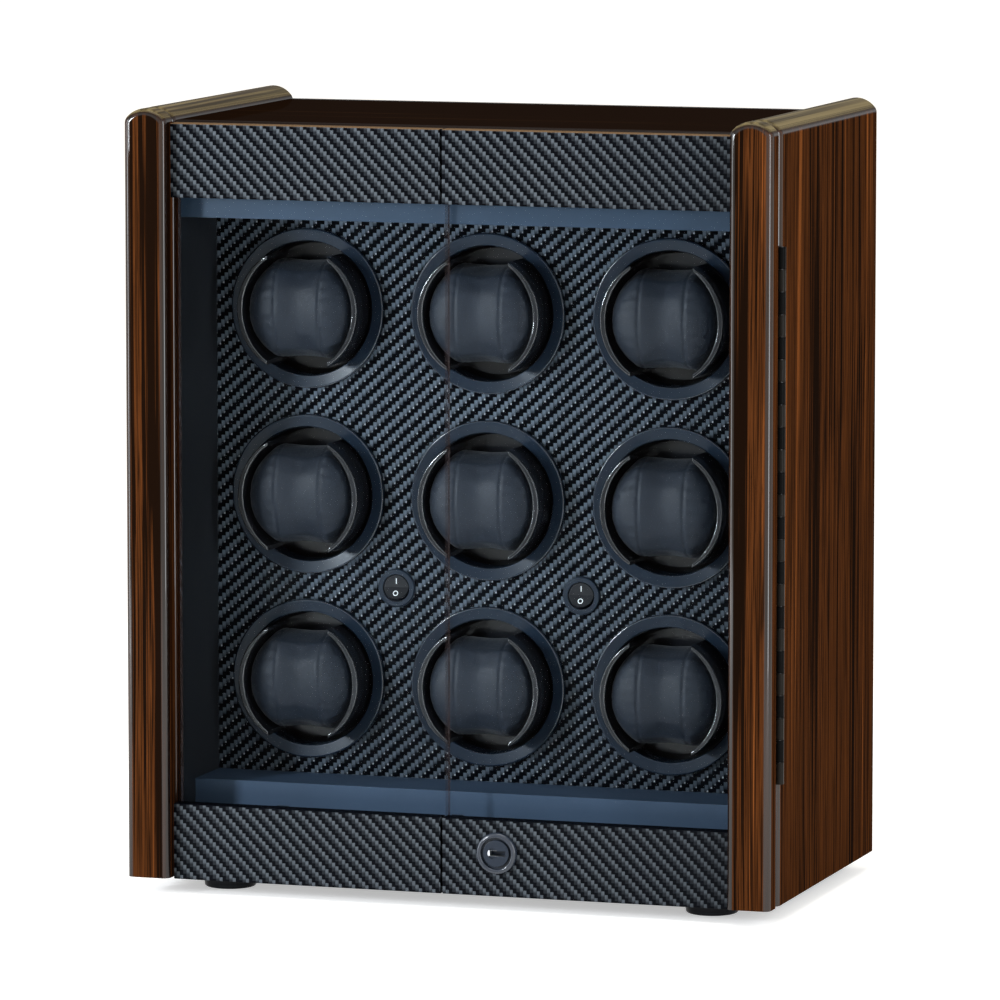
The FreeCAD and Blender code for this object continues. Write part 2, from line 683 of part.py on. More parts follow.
def rotor_cups():
    """Cups with two crescent jaws, a hub and a spindle, about the Y axis with the tips at Y 0."""
    wall = solid_round("cup_wall", ("0", "0", "0"), "y", "cup_radius", "cup_depth + cup_floor")
    lobes = [solid_round(f"cup_bore_{index}", (f"{sign} * jaw_taper", "0", "0"), "y",
                         "bore_radius", "cup_depth")
             for index, sign in enumerate((-1, 1), start=1)]
    bore = shared("cup_bore", lobes)
    gap = solid_box("cup_strap_gap", ("-strap_gap / 2", "0", "-cup_radius"),
                    ("strap_gap", "cup_depth", "cup_diameter"))
    jaws = less("cup_jaws", wall, joined("cup_hollow", [bore, gap]))
    hub = solid_round("cup_hub", ("0", "cup_depth + cup_floor", "0"), "y",
                      "hub_diameter / 2", "hub_length")
    spindle_length = "motor_board_gap + motor_board_thickness + socket_depth - spindle_end_gap"
    spindle = solid_round("cup_spindle", ("0", "cup_depth + cup_floor", "0"), "y",
                          "spindle_diameter / 2", spindle_length)
    whole = joined("cup_whole", [jaws, hub, spindle])
    doc.recompute()
    cup = doc.addObject("Part::Fillet", "rotor_cup")
    cup.Base = whole
    cup.Edges = [(index, size("jaw_round"), size("jaw_round"))
                 for index in flat_at(whole.Shape, "y", 0)]
    for name, x, z in rotor_places():
        keep(copy_at(f"cup_{name}", cup, x, "cup_tip", z), f"rotor_cup_{name}")


def cushion_section(x, half_height, front, back):
    """One upright section of the cushion: crowned front, bowed top and bottom, flat back."""
    corner = size("cushion_corner") * half_height
    fall = size("cushion_fall") * half_height
    shoulder = (front + fall + back) / 2

    def at(y, z):
        return FreeCAD.Vector(x, y, z)
    front_low, front_high = at(front + fall, -corner), at(front + fall, corner)
    back_low, back_high = at(back, -corner), at(back, corner)
    edges = [
        Part.Arc(front_low, at(front, 0), front_high).toShape(),
        Part.Arc(front_high, at(shoulder, half_height), back_high).toShape(),
        Part.LineSegment(back_high, back_low).toShape(),
        Part.Arc(back_low, at(shoulder, -half_height), front_low).toShape(),
    ]
    return Part.Wire(edges)


def cushions():
    """Round leather cushions whose cheeks follow the jaws, with a channel for the strap."""
    reach = number("bore_radius - cushion_gap")
    full = size("cushion_height") / 2
    front = -size("cushion_crown")
    back = size("cup_depth") - size("cushion_seat")
    channel = size("strap_channel")
    stations = [
        (0.0, full - channel, front + channel, back),
        (size("strap_channel_width") / 2, full, front, back),
    ]
    widest = math.asin(full / reach)
    for step in range(CHEEK_STEPS + 1):
        turn = widest + (math.radians(size("cheek_end")) - widest) * step / CHEEK_STEPS
        height = reach * math.sin(turn)
        fallen = max(0.0, 1 - height / full) ** size("cheek_curve")
        stations.append((reach * math.cos(turn) - size("jaw_taper"), height,
                         front + size("cheek_fall") * fallen, back - size("cheek_lift") * fallen))
    mirrored = [(-x, *rest) for x, *rest in reversed(stations[1:])]
    wires = [cushion_section(*station) for station in mirrored + stations]
    form = doc.addObject("Part::Feature", "cushion_form")
    form.Shape = Part.makeLoft(wires, True, False)
    for name, x, z in rotor_places():
        keep(copy_at(f"pad_{name}", form, x, "cup_tip", z), f"cushion_{name}")


def drive():
    """The motor board behind the cups, with a gear motor for each spindle."""
    panel = board("motor_board", ("-side_inner", "motor_front", "base_top"),
                  ("2 * side_inner", "motor_board_thickness", "top_under - base_top"))
    for name, x, z in rotor_places():
        add_round(panel, f"spindle_hole_{name}", (f"side_inner + {x}", "0", f"{z} - base_top"), "y",
                  "spindle_diameter / 2 + spindle_clearance", "motor_board_thickness", cuts=True)
    keep(panel, "motor_board")
    motor = new_body("gear_motor")
    add_round(motor, "gearbox", ("0", "0", "0"), "y", "gearbox_diameter / 2", "gearbox_length")
    add_round(motor, "motor_can", ("0", "gearbox_length", "0"), "y", "motor_diameter / 2",
              "motor_length")
    add_round(motor, "spindle_socket", ("0", "0", "0"), "y",
              "spindle_diameter / 2 + spindle_clearance", "socket_depth", cuts=True)
    group("gear_motors", [copy_at(f"motor_{name}", motor, x, "motor_back", z)
                          for name, x, z in rotor_places()])


def electrics():
    """The control board on posts inside the back, and the power jack sunk in the back."""
    circuit = board("control_board", ("-circuit_width / 2", "circuit_front",
                                      "circuit_z - circuit_height / 2"),
                    ("circuit_width", "circuit_thickness", "circuit_height"))
    for index, (across, up) in enumerate(((0, 0), (1, 0), (0, 1), (1, 1)), start=1):
        at = (f"circuit_post_diameter + {across} * (circuit_width - 2 * circuit_post_diameter)",
              "circuit_thickness",
              f"circuit_post_diameter + {up} * (circuit_height - 2 * circuit_post_diameter)")
        add_round(circuit, f"circuit_post_{index}", at, "y", "circuit_post_diameter / 2",
                  "circuit_post")
    for index in range(3):
        at = (f"circuit_width / 2 + {index - 1} * driver_spacing - driver_width / 2",
              "-circuit_part_height", "circuit_height / 2 - driver_height / 2")
        add_box(circuit, f"circuit_driver_{index + 1}", at,
                ("driver_width", "circuit_part_height", "driver_height"))
    keep(circuit, "control_board")
    jack = new_body("power_jack")
    add_round(jack, "jack_face", ("0", "-jack_recess", "0"), "y", "jack_flange / 2", "jack_recess")
    add_round(jack, "jack_barrel", ("0", "-jack_length", "0"), "y", "jack_diameter / 2",
              "jack_length - jack_recess")
    add_round(jack, "jack_mouth", ("0", "-jack_bore_depth", "0"), "y", "jack_bore / 2",
              "jack_bore_depth", cuts=True)
    add_round(jack, "jack_contact", ("0", "-jack_bore_depth", "0"), "y", "jack_pin / 2",
              "jack_bore_depth - jack_recess / 2")
    put(jack, "jack_x", "rear", "jack_z")
    keep(jack, "power_jack")


def switches():
    """Round rocker switches: a bezel with a barrel, and a ball-shaped rocker on two pins."""
    housing = new_body("switch_housing")
    add_round(housing, "switch_bezel", ("0", "-switch_proud", "0"), "y", "switch_diameter / 2",
              "switch_proud")
    add_round(housing, "switch_barrel", ("0", "0", "0"), "y", "switch_barrel / 2", "switch_depth")
    hollow = "rocker_radius + rocker_clearance"
    add_round(housing, "switch_well", ("0", "-switch_proud", "0"), "y", hollow,
              f"rocker_inset + {hollow}", cuts=True)
    pivot = "rocker_inset - switch_proud"
    pin_span = "rocker_radius + trunnion_length + rocker_clearance"
    add_round(housing, "switch_pivot", (f"-({pin_span})", pivot, "0"), "x",
              "trunnion_diameter / 2 + trunnion_clearance", f"2 * ({pin_span})", cuts=True)
    round_edges(housing, "switch_edge", "switch_round",
                lambda shape: circles(shape, size("switch_diameter") / 2, -size("switch_proud")))
    places = (("left", -1), ("right", 1))
    group("switch_housings", [copy_at(f"{side}_switch", housing, f"{sign} * switch_spread",
                                      "panel_front", "switch_z") for side, sign in places])
    ball = doc.addObject("Part::Sphere", "rocker_ball")
    bind(ball, Radius="rocker_radius")
    slab = new_body("rocker_slab")
    lift = "rocker_web + rocker_radius * tan(rocker_tilt)"
    corners = [
        (f"-({lift})", "-rocker_radius"),
        ("rocker_back", "-rocker_radius"),
        ("rocker_back", "rocker_radius"),
        (f"-({lift})", "rocker_radius"),
        ("-rocker_web", "0"),
    ]
    sketch = outline(slab, "rocker_profile", "YZ_Plane", corners)
    pad = slab.newObject("PartDesign::Pad", "rocker_pad")
    pad.Profile = sketch
    pad.Midplane = True
    bind(pad, Length="rocker_diameter")
    pins = solid_round("rocker_pins", ("-rocker_radius - trunnion_length", "0", "0"), "x",
                       "trunnion_diameter / 2", "rocker_diameter + 2 * trunnion_length")
    rocker = joined("rocker", [shared("rocker_body", [ball, slab]), pins])
    pressed = FreeCAD.Rotation(FreeCAD.Vector(1, 0, 0), -size("rocker_tilt"))
    for side, sign in places:
        piece = copy_at(f"{side}_rocker", rocker, f"{sign} * switch_spread", "rocker_y", "switch_z")
        piece.Placement = FreeCAD.Placement(FreeCAD.Vector(), pressed)
        keep(piece, f"{side}_rocker")


def door(side, sign, meet):
    """One door: stile, two rails, pane, glass clips and catch plate."""
    stile = arched_board(f"{side}_stile", "stile_width", "stile_thickness")
    round_edges(stile, f"{side}_stile_back", "edge_round",
                lambda shape: straight(shape, "z", x="max" if sign > 0 else "min", y="max"))
    put(stile, f"{sign} * (half_width - stile_width / 2)", "front", "bottom")
    keep(stile, f"{side}_stile")
    low = "-stile_inner" if sign < 0 else meet
    length = f"stile_inner + {sign} * -({meet})"
    for level, z, height in (("top", "top_rail_low", "rail_height"),
                             ("bottom", "bottom_rail_low", "rail_height + rail_reach")):
        rail = board(f"{side}_{level}_rail", (low, "rail_front", z),
                     (length, "rail_thickness", height))
        if side == "right" and level == "bottom":
            add_round(rail, "lock_hole", (f"lock_x - ({low})", "0", f"lock_z - ({z})"), "y",
                      "barrel_diameter / 2 + barrel_clearance", "rail_thickness", cuts=True)
        round_edges(rail, f"{side}_{level}_rail_edges", "rail_round",
                    lambda shape: straight(shape, "x", y="min"))
        keep(rail, f"{side}_{level}_rail")
    pane_low = "-stile_inner + glass_side_gap" if sign < 0 else meet
    pane = board(f"{side}_glass", (pane_low, "rail_back", "glass_low"),
                 (f"{length} - glass_side_gap", "glass_thickness", "glass_high - glass_low"))
    keep(pane, f"{side}_glass")
    middle = f"{meet} + {sign} * {side}_clip_inset"
    clips = [glass_clip(f"{side}_{level}_clip", middle, edge_z, inward)
             for level, edge_z, inward in (("top", "glass_high", -1), ("bottom", "glass_low", 1))]
    group(f"{side}_glass_clips", clips)
    plate = board(f"{side}_catch_plate",
                  (f"meeting_offset + {sign} * catch_inset - catch_width / 2", "rail_back",
                   "catch_low"), ("catch_width", "plate_thickness", "catch_height"))
    keep(plate, f"{side}_catch_plate")


def glass_clip(name, middle, edge_z, inward):
    """A clip on the back of a rail, with a lip behind the pane; inward is the way to the pane."""
    clip = new_body(name)
    foot_low = "-clip_foot" if inward > 0 else "0"
    lip_low = "-clip_foot" if inward > 0 else "-clip_lip"
    add_box(clip, f"{name}_foot", ("-clip_width / 2", "0", foot_low),
            ("clip_width", "glass_thickness", "clip_foot"))
    add_box(clip, f"{name}_lip", ("-clip_width / 2", "glass_thickness", lip_low),
            ("clip_width", "clip_thickness", "clip_foot + clip_lip"))
    put(clip, middle, "rail_back", edge_z)
    return clip


def magnets():
    """Magnets on the header that hold the catch plates of the closed doors."""
    members = [solid_box(f"{side}_magnet",
                         (f"meeting_offset + {sign} * catch_inset - catch_width / 2",
                          "magnet_front", "catch_low"),
                         ("catch_width", "lining_front - magnet_front", "catch_height"))
               for side, sign in (("left", -1), ("right", 1))]
    group("door_magnets", members)


def hinge_leaf(name, first, face_y):
    """A piano-hinge leaf about an axis at the origin: a plate and every other knuckle."""
    leaf = new_body(name)
    add_box(leaf, f"{name}_plate", ("-leaf_reach", face_y, "0"),
            ("leaf_reach - knuckle_diameter / 2 - leaf_clearance", "leaf_thickness",
             "hinge_length"))
    start = f"{first} * knuckle_pitch + knuckle_gap / 2"
    long = "knuckle_pitch - knuckle_gap"
    tab = add_box(leaf, f"{name}_tab", ("-leaf_reach / 2", face_y, start),
                  ("leaf_reach / 2", "leaf_thickness", long))
    barrel = add_round(leaf, f"{name}_barrel", ("0", "0", start), "z", "knuckle_diameter / 2", long)
    doc.recompute()
    pattern = leaf.newObject("PartDesign::LinearPattern", f"{name}_knuckles")
    pattern.Originals = [tab, barrel]
    pattern.Direction = (plane_of(leaf, "Z_Axis"), [""])
    bind(pattern, Length="(knuckle_count - 2) * knuckle_pitch", Occurrences="knuckle_count / 2")
    leaf.Tip = pattern
    add_round(leaf, f"{name}_bore", ("0", "0", "0"), "z", "pin_diameter / 2 + pin_clearance",
              "hinge_length", cuts=True)
    return leaf


def hinges():
    """A piano hinge between each stile and side board, with its pin."""
    pins = []
    for side, sign in (("left", -1), ("right", 1)):
        faces = {"door": ("-hinge_gap / 2", 0), "frame": ("hinge_gap / 2 - leaf_thickness", 1)}
        for kind, (face_y, first) in faces.items():
            master = hinge_leaf(f"{side}_{kind}_leaf", first, face_y)
            if sign > 0:
                put(master, "hinge_x", "hinge_y", "hinge_z")
                keep(master, f"{side}_hinge_{kind}_leaf")
                continue
            mirror = doc.addObject("Part::Mirroring", f"{side}_{kind}_leaf_mirror")
            mirror.Source = master
            mirror.Normal = FreeCAD.Vector(1, 0, 0)
            keep(copy_at(f"{side}_{kind}_leaf_placed", mirror, "-hinge_x", "hinge_y", "hinge_z"),
                 f"{side}_hinge_{kind}_leaf")
        pins.append(solid_round(f"{side}_pin", (f"{sign} * hinge_x", "hinge_y", "hinge_z"), "z",
                                "pin_diameter / 2", "hinge_length"))
    group("hinge_pins", pins)


def lock():
    """The cam lock in the right bottom rail: body, turning plug, cam and strike plate."""
    body = new_body("lock_barrel")
    add_round(body, "lock_face_plate", ("0", "-lock_flange", "0"), "y", "lock_diameter / 2",
              "lock_flange")
    add_round(body, "lock_tube", ("0", "0", "0"), "y", "barrel_diameter / 2", "barrel_length")
    add_round(body, "lock_core_hole", ("0", "-lock_flange", "0"), "y",
              "plug_diameter / 2 + plug_clearance", "lock_flange + barrel_length", cuts=True)
    add_round(body, "lock_groove", ("0", "-lock_flange", "0"), "y", "groove_diameter / 2",
              "groove_depth", cuts=True)
    for name, edge, radius in (("outer", "lock_diameter", "lock_round"),
                               ("inner", "groove_diameter", "groove_round")):
        round_edges(body, f"lock_{name}_edge", radius,
                    lambda shape: circles(shape, size(edge) / 2, -size("lock_flange")))
    put(body, "lock_x", "rail_front", "lock_z")
    keep(body, "lock_body")
    plug = new_body("plug")
    plug_front = "plug_recess - lock_flange"
    add_round(plug, "plug_core", ("0", plug_front, "0"), "y", "plug_diameter / 2",
              f"barrel_length - ({plug_front})")
    add_round(plug, "plug_stem", ("0", "barrel_length", "0"), "y", "cam_stem / 2",
              "cam_gap + cam_thickness")
    round_edges(plug, "plug_edge", "plug_round",
                lambda shape: circles(shape, size("plug_diameter") / 2, number(plug_front)))
    add_round(plug, "key_dish", ("-dish_shift", plug_front, "0"), "y", "dish_diameter / 2",
              "dish_depth", cuts=True)
    add_box(plug, "keyway", ("keyway_shift - keyway_length / 2", plug_front, "-keyway_width / 2"),
            ("keyway_length", "keyway_depth", "keyway_width"), cuts=True)
    put(plug, "lock_x", "rail_front", "lock_z")
    keep(plug, "lock_plug")
    cam = new_body("cam")
    add_round(cam, "cam_eye", ("0", "0", "0"), "y", "cam_width / 2", "cam_thickness")
    add_box(cam, "cam_arm", ("-cam_width / 2", "0", "0"),
            ("cam_width", "cam_thickness", "cam_reach"))
    add_round(cam, "cam_stem_hole", ("0", "0", "0"), "y", "cam_stem / 2", "cam_thickness", cuts=True)
    put(cam, "lock_x", "cam_front", "lock_z")
    keep(cam, "lock_cam")
    strike = board("strike", ("lock_x - cam_reach - strike_inset", "top_front",
                              "bottom + strike_foot"),
                   ("strike_width", "strike_thickness", "strike_top - strike_foot"))
    keep(strike, "lock_strike")


def check_document():
    """Stop if any object failed or a sub-part has no valid solid."""
    for item in doc.Objects:
        if any(word in ("Invalid", "Error") for word in item.State):
            raise RuntimeError(f"{item.Name} failed: {item.State}")
    for piece in subparts:
        shape = piece.Shape
        if shape.isNull() or not shape.isValid() or not shape.Solids:
            raise RuntimeError(f"{piece.Label} has no valid solid")


def write_steps():
    os.makedirs("parts", exist_ok=True)
    for piece in subparts:
        solids = piece.Shape.Solids
        shape = solids[0] if len(solids) == 1 else piece.Shape
        shape.exportStep(f"parts/{piece.Label}.step")


side_boards()
boards()
back_screws()
feet()
linings()
rotor_panel()
bezel_rings()
rotor_cups()
cushions()
drive()
electrics()
switches()
door("left", -1, "left_meet")
door("right", 1, "right_meet")
magnets()
hinges()
lock()
doc.recompute()
check_document()
write_steps()
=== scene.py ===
import json
import math

import bmesh
import bpy
from mathutils import Matrix, Vector


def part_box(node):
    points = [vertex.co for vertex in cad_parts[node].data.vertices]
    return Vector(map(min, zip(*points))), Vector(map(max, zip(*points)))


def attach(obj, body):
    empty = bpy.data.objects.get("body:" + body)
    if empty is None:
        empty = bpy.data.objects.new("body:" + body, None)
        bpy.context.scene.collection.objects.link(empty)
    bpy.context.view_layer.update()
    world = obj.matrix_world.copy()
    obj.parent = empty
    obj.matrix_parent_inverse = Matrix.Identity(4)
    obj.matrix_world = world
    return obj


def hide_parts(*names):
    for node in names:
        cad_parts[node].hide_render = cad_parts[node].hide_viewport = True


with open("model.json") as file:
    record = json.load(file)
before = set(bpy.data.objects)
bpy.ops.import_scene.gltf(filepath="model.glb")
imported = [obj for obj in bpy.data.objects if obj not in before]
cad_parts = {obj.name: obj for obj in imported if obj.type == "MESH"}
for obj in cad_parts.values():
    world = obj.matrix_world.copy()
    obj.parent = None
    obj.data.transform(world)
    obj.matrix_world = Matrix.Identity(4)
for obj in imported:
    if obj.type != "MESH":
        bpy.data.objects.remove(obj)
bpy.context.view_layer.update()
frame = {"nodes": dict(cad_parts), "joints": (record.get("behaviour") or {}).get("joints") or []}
NODES = frame["nodes"]

bl_info = {
    "name": "Watch Winder Cabinet",
    "version": (1, 0, 0),
    "blender": (4, 5, 0),
    "location": "3D View > Sidebar > Winder",
    "description": "Finishes a packed watch winder cabinet: veneer, carbon twill, glass and leather",
    "category": "Object",
}

ROWS = ("top", "middle", "bottom")
COLUMNS = ("left", "middle", "right")
ROTORS = [f"{row}_{column}" for row in ROWS for column in COLUMNS]
SIDES = ("left", "right")
MM = 0.001
WHITE = (1.0, 1.0, 1.0)

# Sockets of a Mix node that blends colours.
MIX_SHARE, MIX_LOW, MIX_HIGH, MIX_RESULT = 0, 6, 7, 2


class Value:
    """A shader value: arithmetic on it adds Math nodes to its tree."""

    def __init__(self, finish, socket):
        self.finish = finish
        self.socket = socket

    def __add__(self, other):
        return self.finish.maths("ADD", self, other)

    def __sub__(self, other):
        return self.finish.maths("SUBTRACT", self, other)

    def __rsub__(self, other):
        return self.finish.maths("SUBTRACT", other, self)

    def __mul__(self, other):
        return self.finish.maths("MULTIPLY", self, other)

    def __truediv__(self, other):
        return self.finish.maths("DIVIDE", self, other)

    def __pow__(self, other):
        return self.finish.maths("POWER", self, other)

    def __mod__(self, other):
        return self.finish.maths("FLOORED_MODULO", self, other)

    def __lt__(self, other):
        return self.finish.maths("LESS_THAN", self, other)

    def __gt__(self, other):
        return self.finish.maths("GREATER_THAN", self, other)

    def __abs__(self):
        return self.finish.maths("ABSOLUTE", self)

    __radd__ = __add__
    __rmul__ = __mul__


class Finish:
    """The node tree of a material or of the world, built from expressions."""

    def __init__(self, tree):
        self.tree = tree
        tree.nodes.clear()

    def add(self, kind, settings=None, sockets=None, out=0):
        """Add a node: first its settings, then values or links for its sockets."""
        node = self.tree.nodes.new(kind)
        for name, setting in (settings or {}).items():
            if name == "stops":
                set_stops(node.color_ramp, setting)
            else:
                setattr(node, name, setting)
        for name, value in (sockets or {}).items():
            if isinstance(value, Value):
                self.tree.links.new(value.socket, node.inputs[name])
            else:
                node.inputs[name].default_value = value
        return Value(self, node.outputs[out]) if node.outputs else node

    def maths(self, operation, *values):
        return self.add("ShaderNodeMath", {"operation": operation}, dict(enumerate(values)))

    def mix(self, share, low, high):
        """Blend two colours."""
        return self.add("ShaderNodeMix", {"data_type": "RGBA"}, {
            MIX_SHARE: share, MIX_LOW: colour_of(low), MIX_HIGH: colour_of(high)}, MIX_RESULT)

    def vector(self, x, y, z):
        return self.add("ShaderNodeCombineXYZ", None, {0: x, 1: y, 2: z})

    def parts(self, vector):
        """The three numbers of a vector."""
        first = self.add("ShaderNodeSeparateXYZ", None, {0: vector})
        node = first.socket.node
        return [Value(self, output) for output in node.outputs]

    def point(self):
        """Where a point lies in the cabinet, in metres, with the cabinet at rest."""
        return self.add("ShaderNodeTexCoord", out="Object")

    def place(self):
        """The X, Y and Z of a point."""
        return self.parts(self.point())

    def facing(self):
        """Which way a surface faces, in the cabinet's own axes."""
        return self.parts(self.add("ShaderNodeTexCoord", out="Normal"))

    def noise(self, vector, scale=1.0, detail=2.0, roughness=0.5):
        return self.add("ShaderNodeTexNoise", None, {
            "Vector": vector, "Scale": scale, "Detail": detail, "Roughness": roughness})

    def mottle(self, place, waves, detail=2.0, roughness=0.5):
        """Noise over a place, with so many waves to its unit: one number, or one for each axis."""
        counts = (waves,) * len(place) if isinstance(waves, float) else waves
        stretched = self.vector(*(axis * count for axis, count in zip(place, counts)))
        return self.noise(stretched, detail=detail, roughness=roughness)

    def ramp(self, value, stops):
        return self.add("ShaderNodeValToRGB", {"stops": stops}, {0: value})

    def smooth(self, value, low, high, start=0.0, end=1.0):
        """Ease a value from one range to another."""
        return self.add("ShaderNodeMapRange", {"interpolation_type": "SMOOTHSTEP"}, {
            "Value": value, "From Min": low, "From Max": high, "To Min": start, "To Max": end})

    def bump(self, height, distance, strength):
        return self.add("ShaderNodeBump", None, {
            "Strength": strength, "Distance": distance, "Height": height})

    def surface(self, sockets):
        shader = self.add("ShaderNodeBsdfPrincipled", None, {
            name: colour_of(value) for name, value in sockets.items()})
        self.finish_with(shader)

    def finish_with(self, shader):
        self.add("ShaderNodeOutputMaterial", None, {"Surface": shader})


def set_stops(ramp, stops):
    while len(ramp.elements) < len(stops):
        ramp.elements.new(1.0)
    for element, (place, colour) in zip(ramp.elements, stops):
        element.position = place
        element.color = colour_of(colour)


def colour_of(value):
    """A colour property or tuple of three as a socket's four numbers; anything else unchanged."""
    if isinstance(value, (Value, int, float)):
        return value
    return (*value, 1.0) if len(value) == 3 else value


def toned(colour, factor):
    """A colour made lighter or darker."""
    return [channel * factor for channel in colour]


def new_finish(name):
    material = bpy.data.materials.new(name)
    material.use_nodes = True
    return material, Finish(material.node_tree)


def dress(names, material):
    """Give CAD nodes one material."""
    for name in names:
        slots = NODES[name].data.materials
        slots.clear()
        slots.append(material)


def smooth_shaded(mesh):
    mesh.polygons.foreach_set("use_smooth", [True] * len(mesh.polygons))


def new_piece(name, mesh, material, body):
    """A mesh as a piece of the cabinet that moves with a CAD body."""
    piece = bpy.data.objects.new(name, mesh)
    bpy.context.scene.collection.objects.link(piece)
    mesh.materials.clear()
    mesh.materials.append(material)
    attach(piece, body)
    return piece


def colour(name, description, default):
    return bpy.props.FloatVectorProperty(
        name=name, description=description, default=default, size=3, min=0.0, max=1.0,
        subtype="COLOR")


def length(name, description, default):
    return bpy.props.FloatProperty(
        name=name, description=description, default=default, min=0.0, unit="LENGTH", precision=5)


def share(name, description, default):
    return bpy.props.FloatProperty(
        name=name, description=description, default=default, min=0.0, max=1.0, subtype="FACTOR")


def angle(name, description, degrees):
    return bpy.props.FloatProperty(
        name=name, description=description, default=math.radians(degrees), unit="ROTATION")


class WinderStage(bpy.types.PropertyGroup):
    """Camera, lights and surround"""
    azimuth: angle("Azimuth", "Camera's turn to the right of the doors", 18.053)
    elevation: angle("Elevation", "Camera's height above the horizon", 6.801)
    distance: length("Distance", "Camera to the point that it looks at", 4.2511)
    lens: bpy.props.FloatProperty(
        name="Lens", description="Focal length on a 36 mm sensor, in millimetres", default=269.93)
    target: bpy.props.FloatVectorProperty(
        name="Target", description="Point that the camera looks at", size=3,
        default=(0.0339, -0.11075, 0.23832), subtype="TRANSLATION", unit="LENGTH")
    floor_colour: colour("Floor", "Pale floor", (0.94, 0.94, 0.94))
    horizon: share("Horizon", "Light from level with the cabinet", 0.02)
    zenith: share("Zenith", "Light from above", 0.75)
    room_colour: colour("Room", "Tint of the light from the room", (1.0, 0.95, 0.86))


class WinderVeneer(bpy.types.PropertyGroup):
    """Striped veneer of the side boards, stiles and top"""
    ground: colour("Ground", "Darkest wood between the stripes", (0.007, 0.003, 0.0015))
    brown: colour("Brown", "Middle tone of the stripes", (0.085, 0.026, 0.007))
    streak: colour("Streak", "Lightest stripes", (0.280, 0.086, 0.020))
    # Painted reflection: the arch colour is a pale sheen painted onto the arched tops, where they mirror
    # the pale light above.
    arch: colour("Arch", "Pale sheen of the arched tops", (0.215, 0.168, 0.078))
    top_ground: colour("Top ground", "Dark wood of the top", (0.009, 0.004, 0.002))
    top_streak: colour("Top streak", "Stripes of the top", (0.034, 0.015, 0.006))
    stripe: length("Stripe", "Usual width of a stripe", 0.0045)
    band: length("Band", "Width of the light and dark bands", 0.024)
    lacquer: share("Lacquer", "Roughness of the lacquer", 0.03)
    flat_gloss: share("Flat gloss", "Gloss of the lacquer on upright flat faces", 0.004)
    top_gloss: share("Top gloss", "Gloss of the lacquer on the top", 0.003)
    edge_gloss: share("Edge gloss", "Gloss of the lacquer round the edges", 0.45)
    arch_gloss: share("Arch gloss", "Gloss of the lacquer on the arched tops", 0.10)


class WinderCarbon(bpy.types.PropertyGroup):
    """Carbon-fibre twill of the rails and the rotor panel"""
    rail_tow: length("Rail tow", "Width of a bundle of fibres in the rails", 0.00203)
    panel_tow: length("Panel tow", "Width of an upright bundle in the rotor panel", 0.00229)
    panel_weft: length("Panel weft", "Width of a level bundle in the rotor panel", 0.00212)
    # Painted light: carbon fibre is black; the light colour of the upright bundles and the glints are
    # painted sheen of the fibres, while the level bundles stay dark.
    rail_light: colour("Rail light", "Upright bundles of the rails", (0.100, 0.116, 0.135))
    panel_light: colour("Panel light", "Upright bundles of the rotor panel", (0.140, 0.172, 0.215))
    glint: colour("Glint", "Ends of bundles that catch the light", (0.62, 0.66, 0.70))
    dark: colour("Dark tow", "Level bundles and the gaps", (0.002, 0.0025, 0.004))
    # Painted reflection: the light upper edges of the top rails stand in for the light they mirror from
    # above.
    top_rail_painted_sheen: colour("Brow", "Varnished upper edges of the top rails", (0.160, 0.100, 0.055))


class WinderGlass(bpy.types.PropertyGroup):
    """Panes of the doors"""
    tint: colour("Tint", "Colour that a pane gives to what shows through it", (0.955, 0.975, 0.985))
    edge: colour("Edge", "Cut edges of a pane", (0.10, 0.065, 0.060))
    edge_cover: share("Edge cover", "How much a cut edge hides of what is behind it", 0.45)
    gleam: share("Gleam", "Strength of the reflection in a pane", 0.9)


class WinderPlastic(bpy.types.PropertyGroup):
    """Moulded plastic, film, paint and metal"""
    gloss_black: colour("Gloss black", "Cups, feet and rockers", (0.010, 0.011, 0.014))
    satin_black: colour("Satin black", "Bezel rings and switch housings", (0.009, 0.016, 0.028))
    # Painted light and shade: header and plinth are one film, painted darker under the top and lighter
    # above the base; their blue-grey is partly the film's own tone and partly a painted reflection of
    # bluish light.
    header_film_shaded: colour("Header film", "Lining under the top", (0.020, 0.039, 0.069))
    plinth_film_lit: colour("Plinth film", "Lining above the base", (0.040, 0.066, 0.110))
    dark_film: colour("Dark film", "Side linings and base", (0.020, 0.022, 0.026))
    lock: colour("Lock", "Ring and face of the lock", (0.018, 0.024, 0.036))
    # Painted light and shade: both leaves carry the same paint; the door leaves are painted a little
    # lighter than the board leaves, so the knuckles read in turn.
    hinge_door_lit_tone: colour("Hinge door leaf", "Paint of the leaves on the doors", (0.010, 0.0085, 0.007))
    hinge_frame_shaded_tone: colour("Hinge frame leaf", "Paint of the leaves on the boards", (0.004, 0.004, 0.004))
    steel: colour("Steel", "Plated plates, pins and screws", (0.23, 0.235, 0.245))
    keyway: colour("Keyway", "Bright walls of the keyway", (0.78, 0.80, 0.83))
    board: colour("Board", "Back and motor board", (0.013, 0.013, 0.014))
    circuit: colour("Circuit", "Control board", (0.012, 0.075, 0.030))


class WinderCushion(bpy.types.PropertyGroup):
    """Leather, filling, seams and creases of the cushions"""
    # Painted light: the leather's blue cast stands in for the cold light falling on black leather.
    leather: colour("Leather", "Colour of the leather", (0.009, 0.0145, 0.025))
    grain: length("Leather grain", "Spacing of the leather's pebbles", 0.0009)
    swell: length("Swell", "Furthest that the filling moves the cover", 0.0011)
    seam_place: length("Seam place", "Seam's distance from the middle of the cushion", 0.0136)
    seam_width: length("Seam width", "Half the width of the drawn-in seam", 0.00075)
    seam_depth: length("Seam depth", "How far the seam is drawn in", 0.00055)
    crease_depth: length("Crease depth", "Depth of the creases beside a seam", 0.00022)
    creases: bpy.props.IntProperty(
        name="Creases", description="Number of creases round a cheek", default=23, min=0)


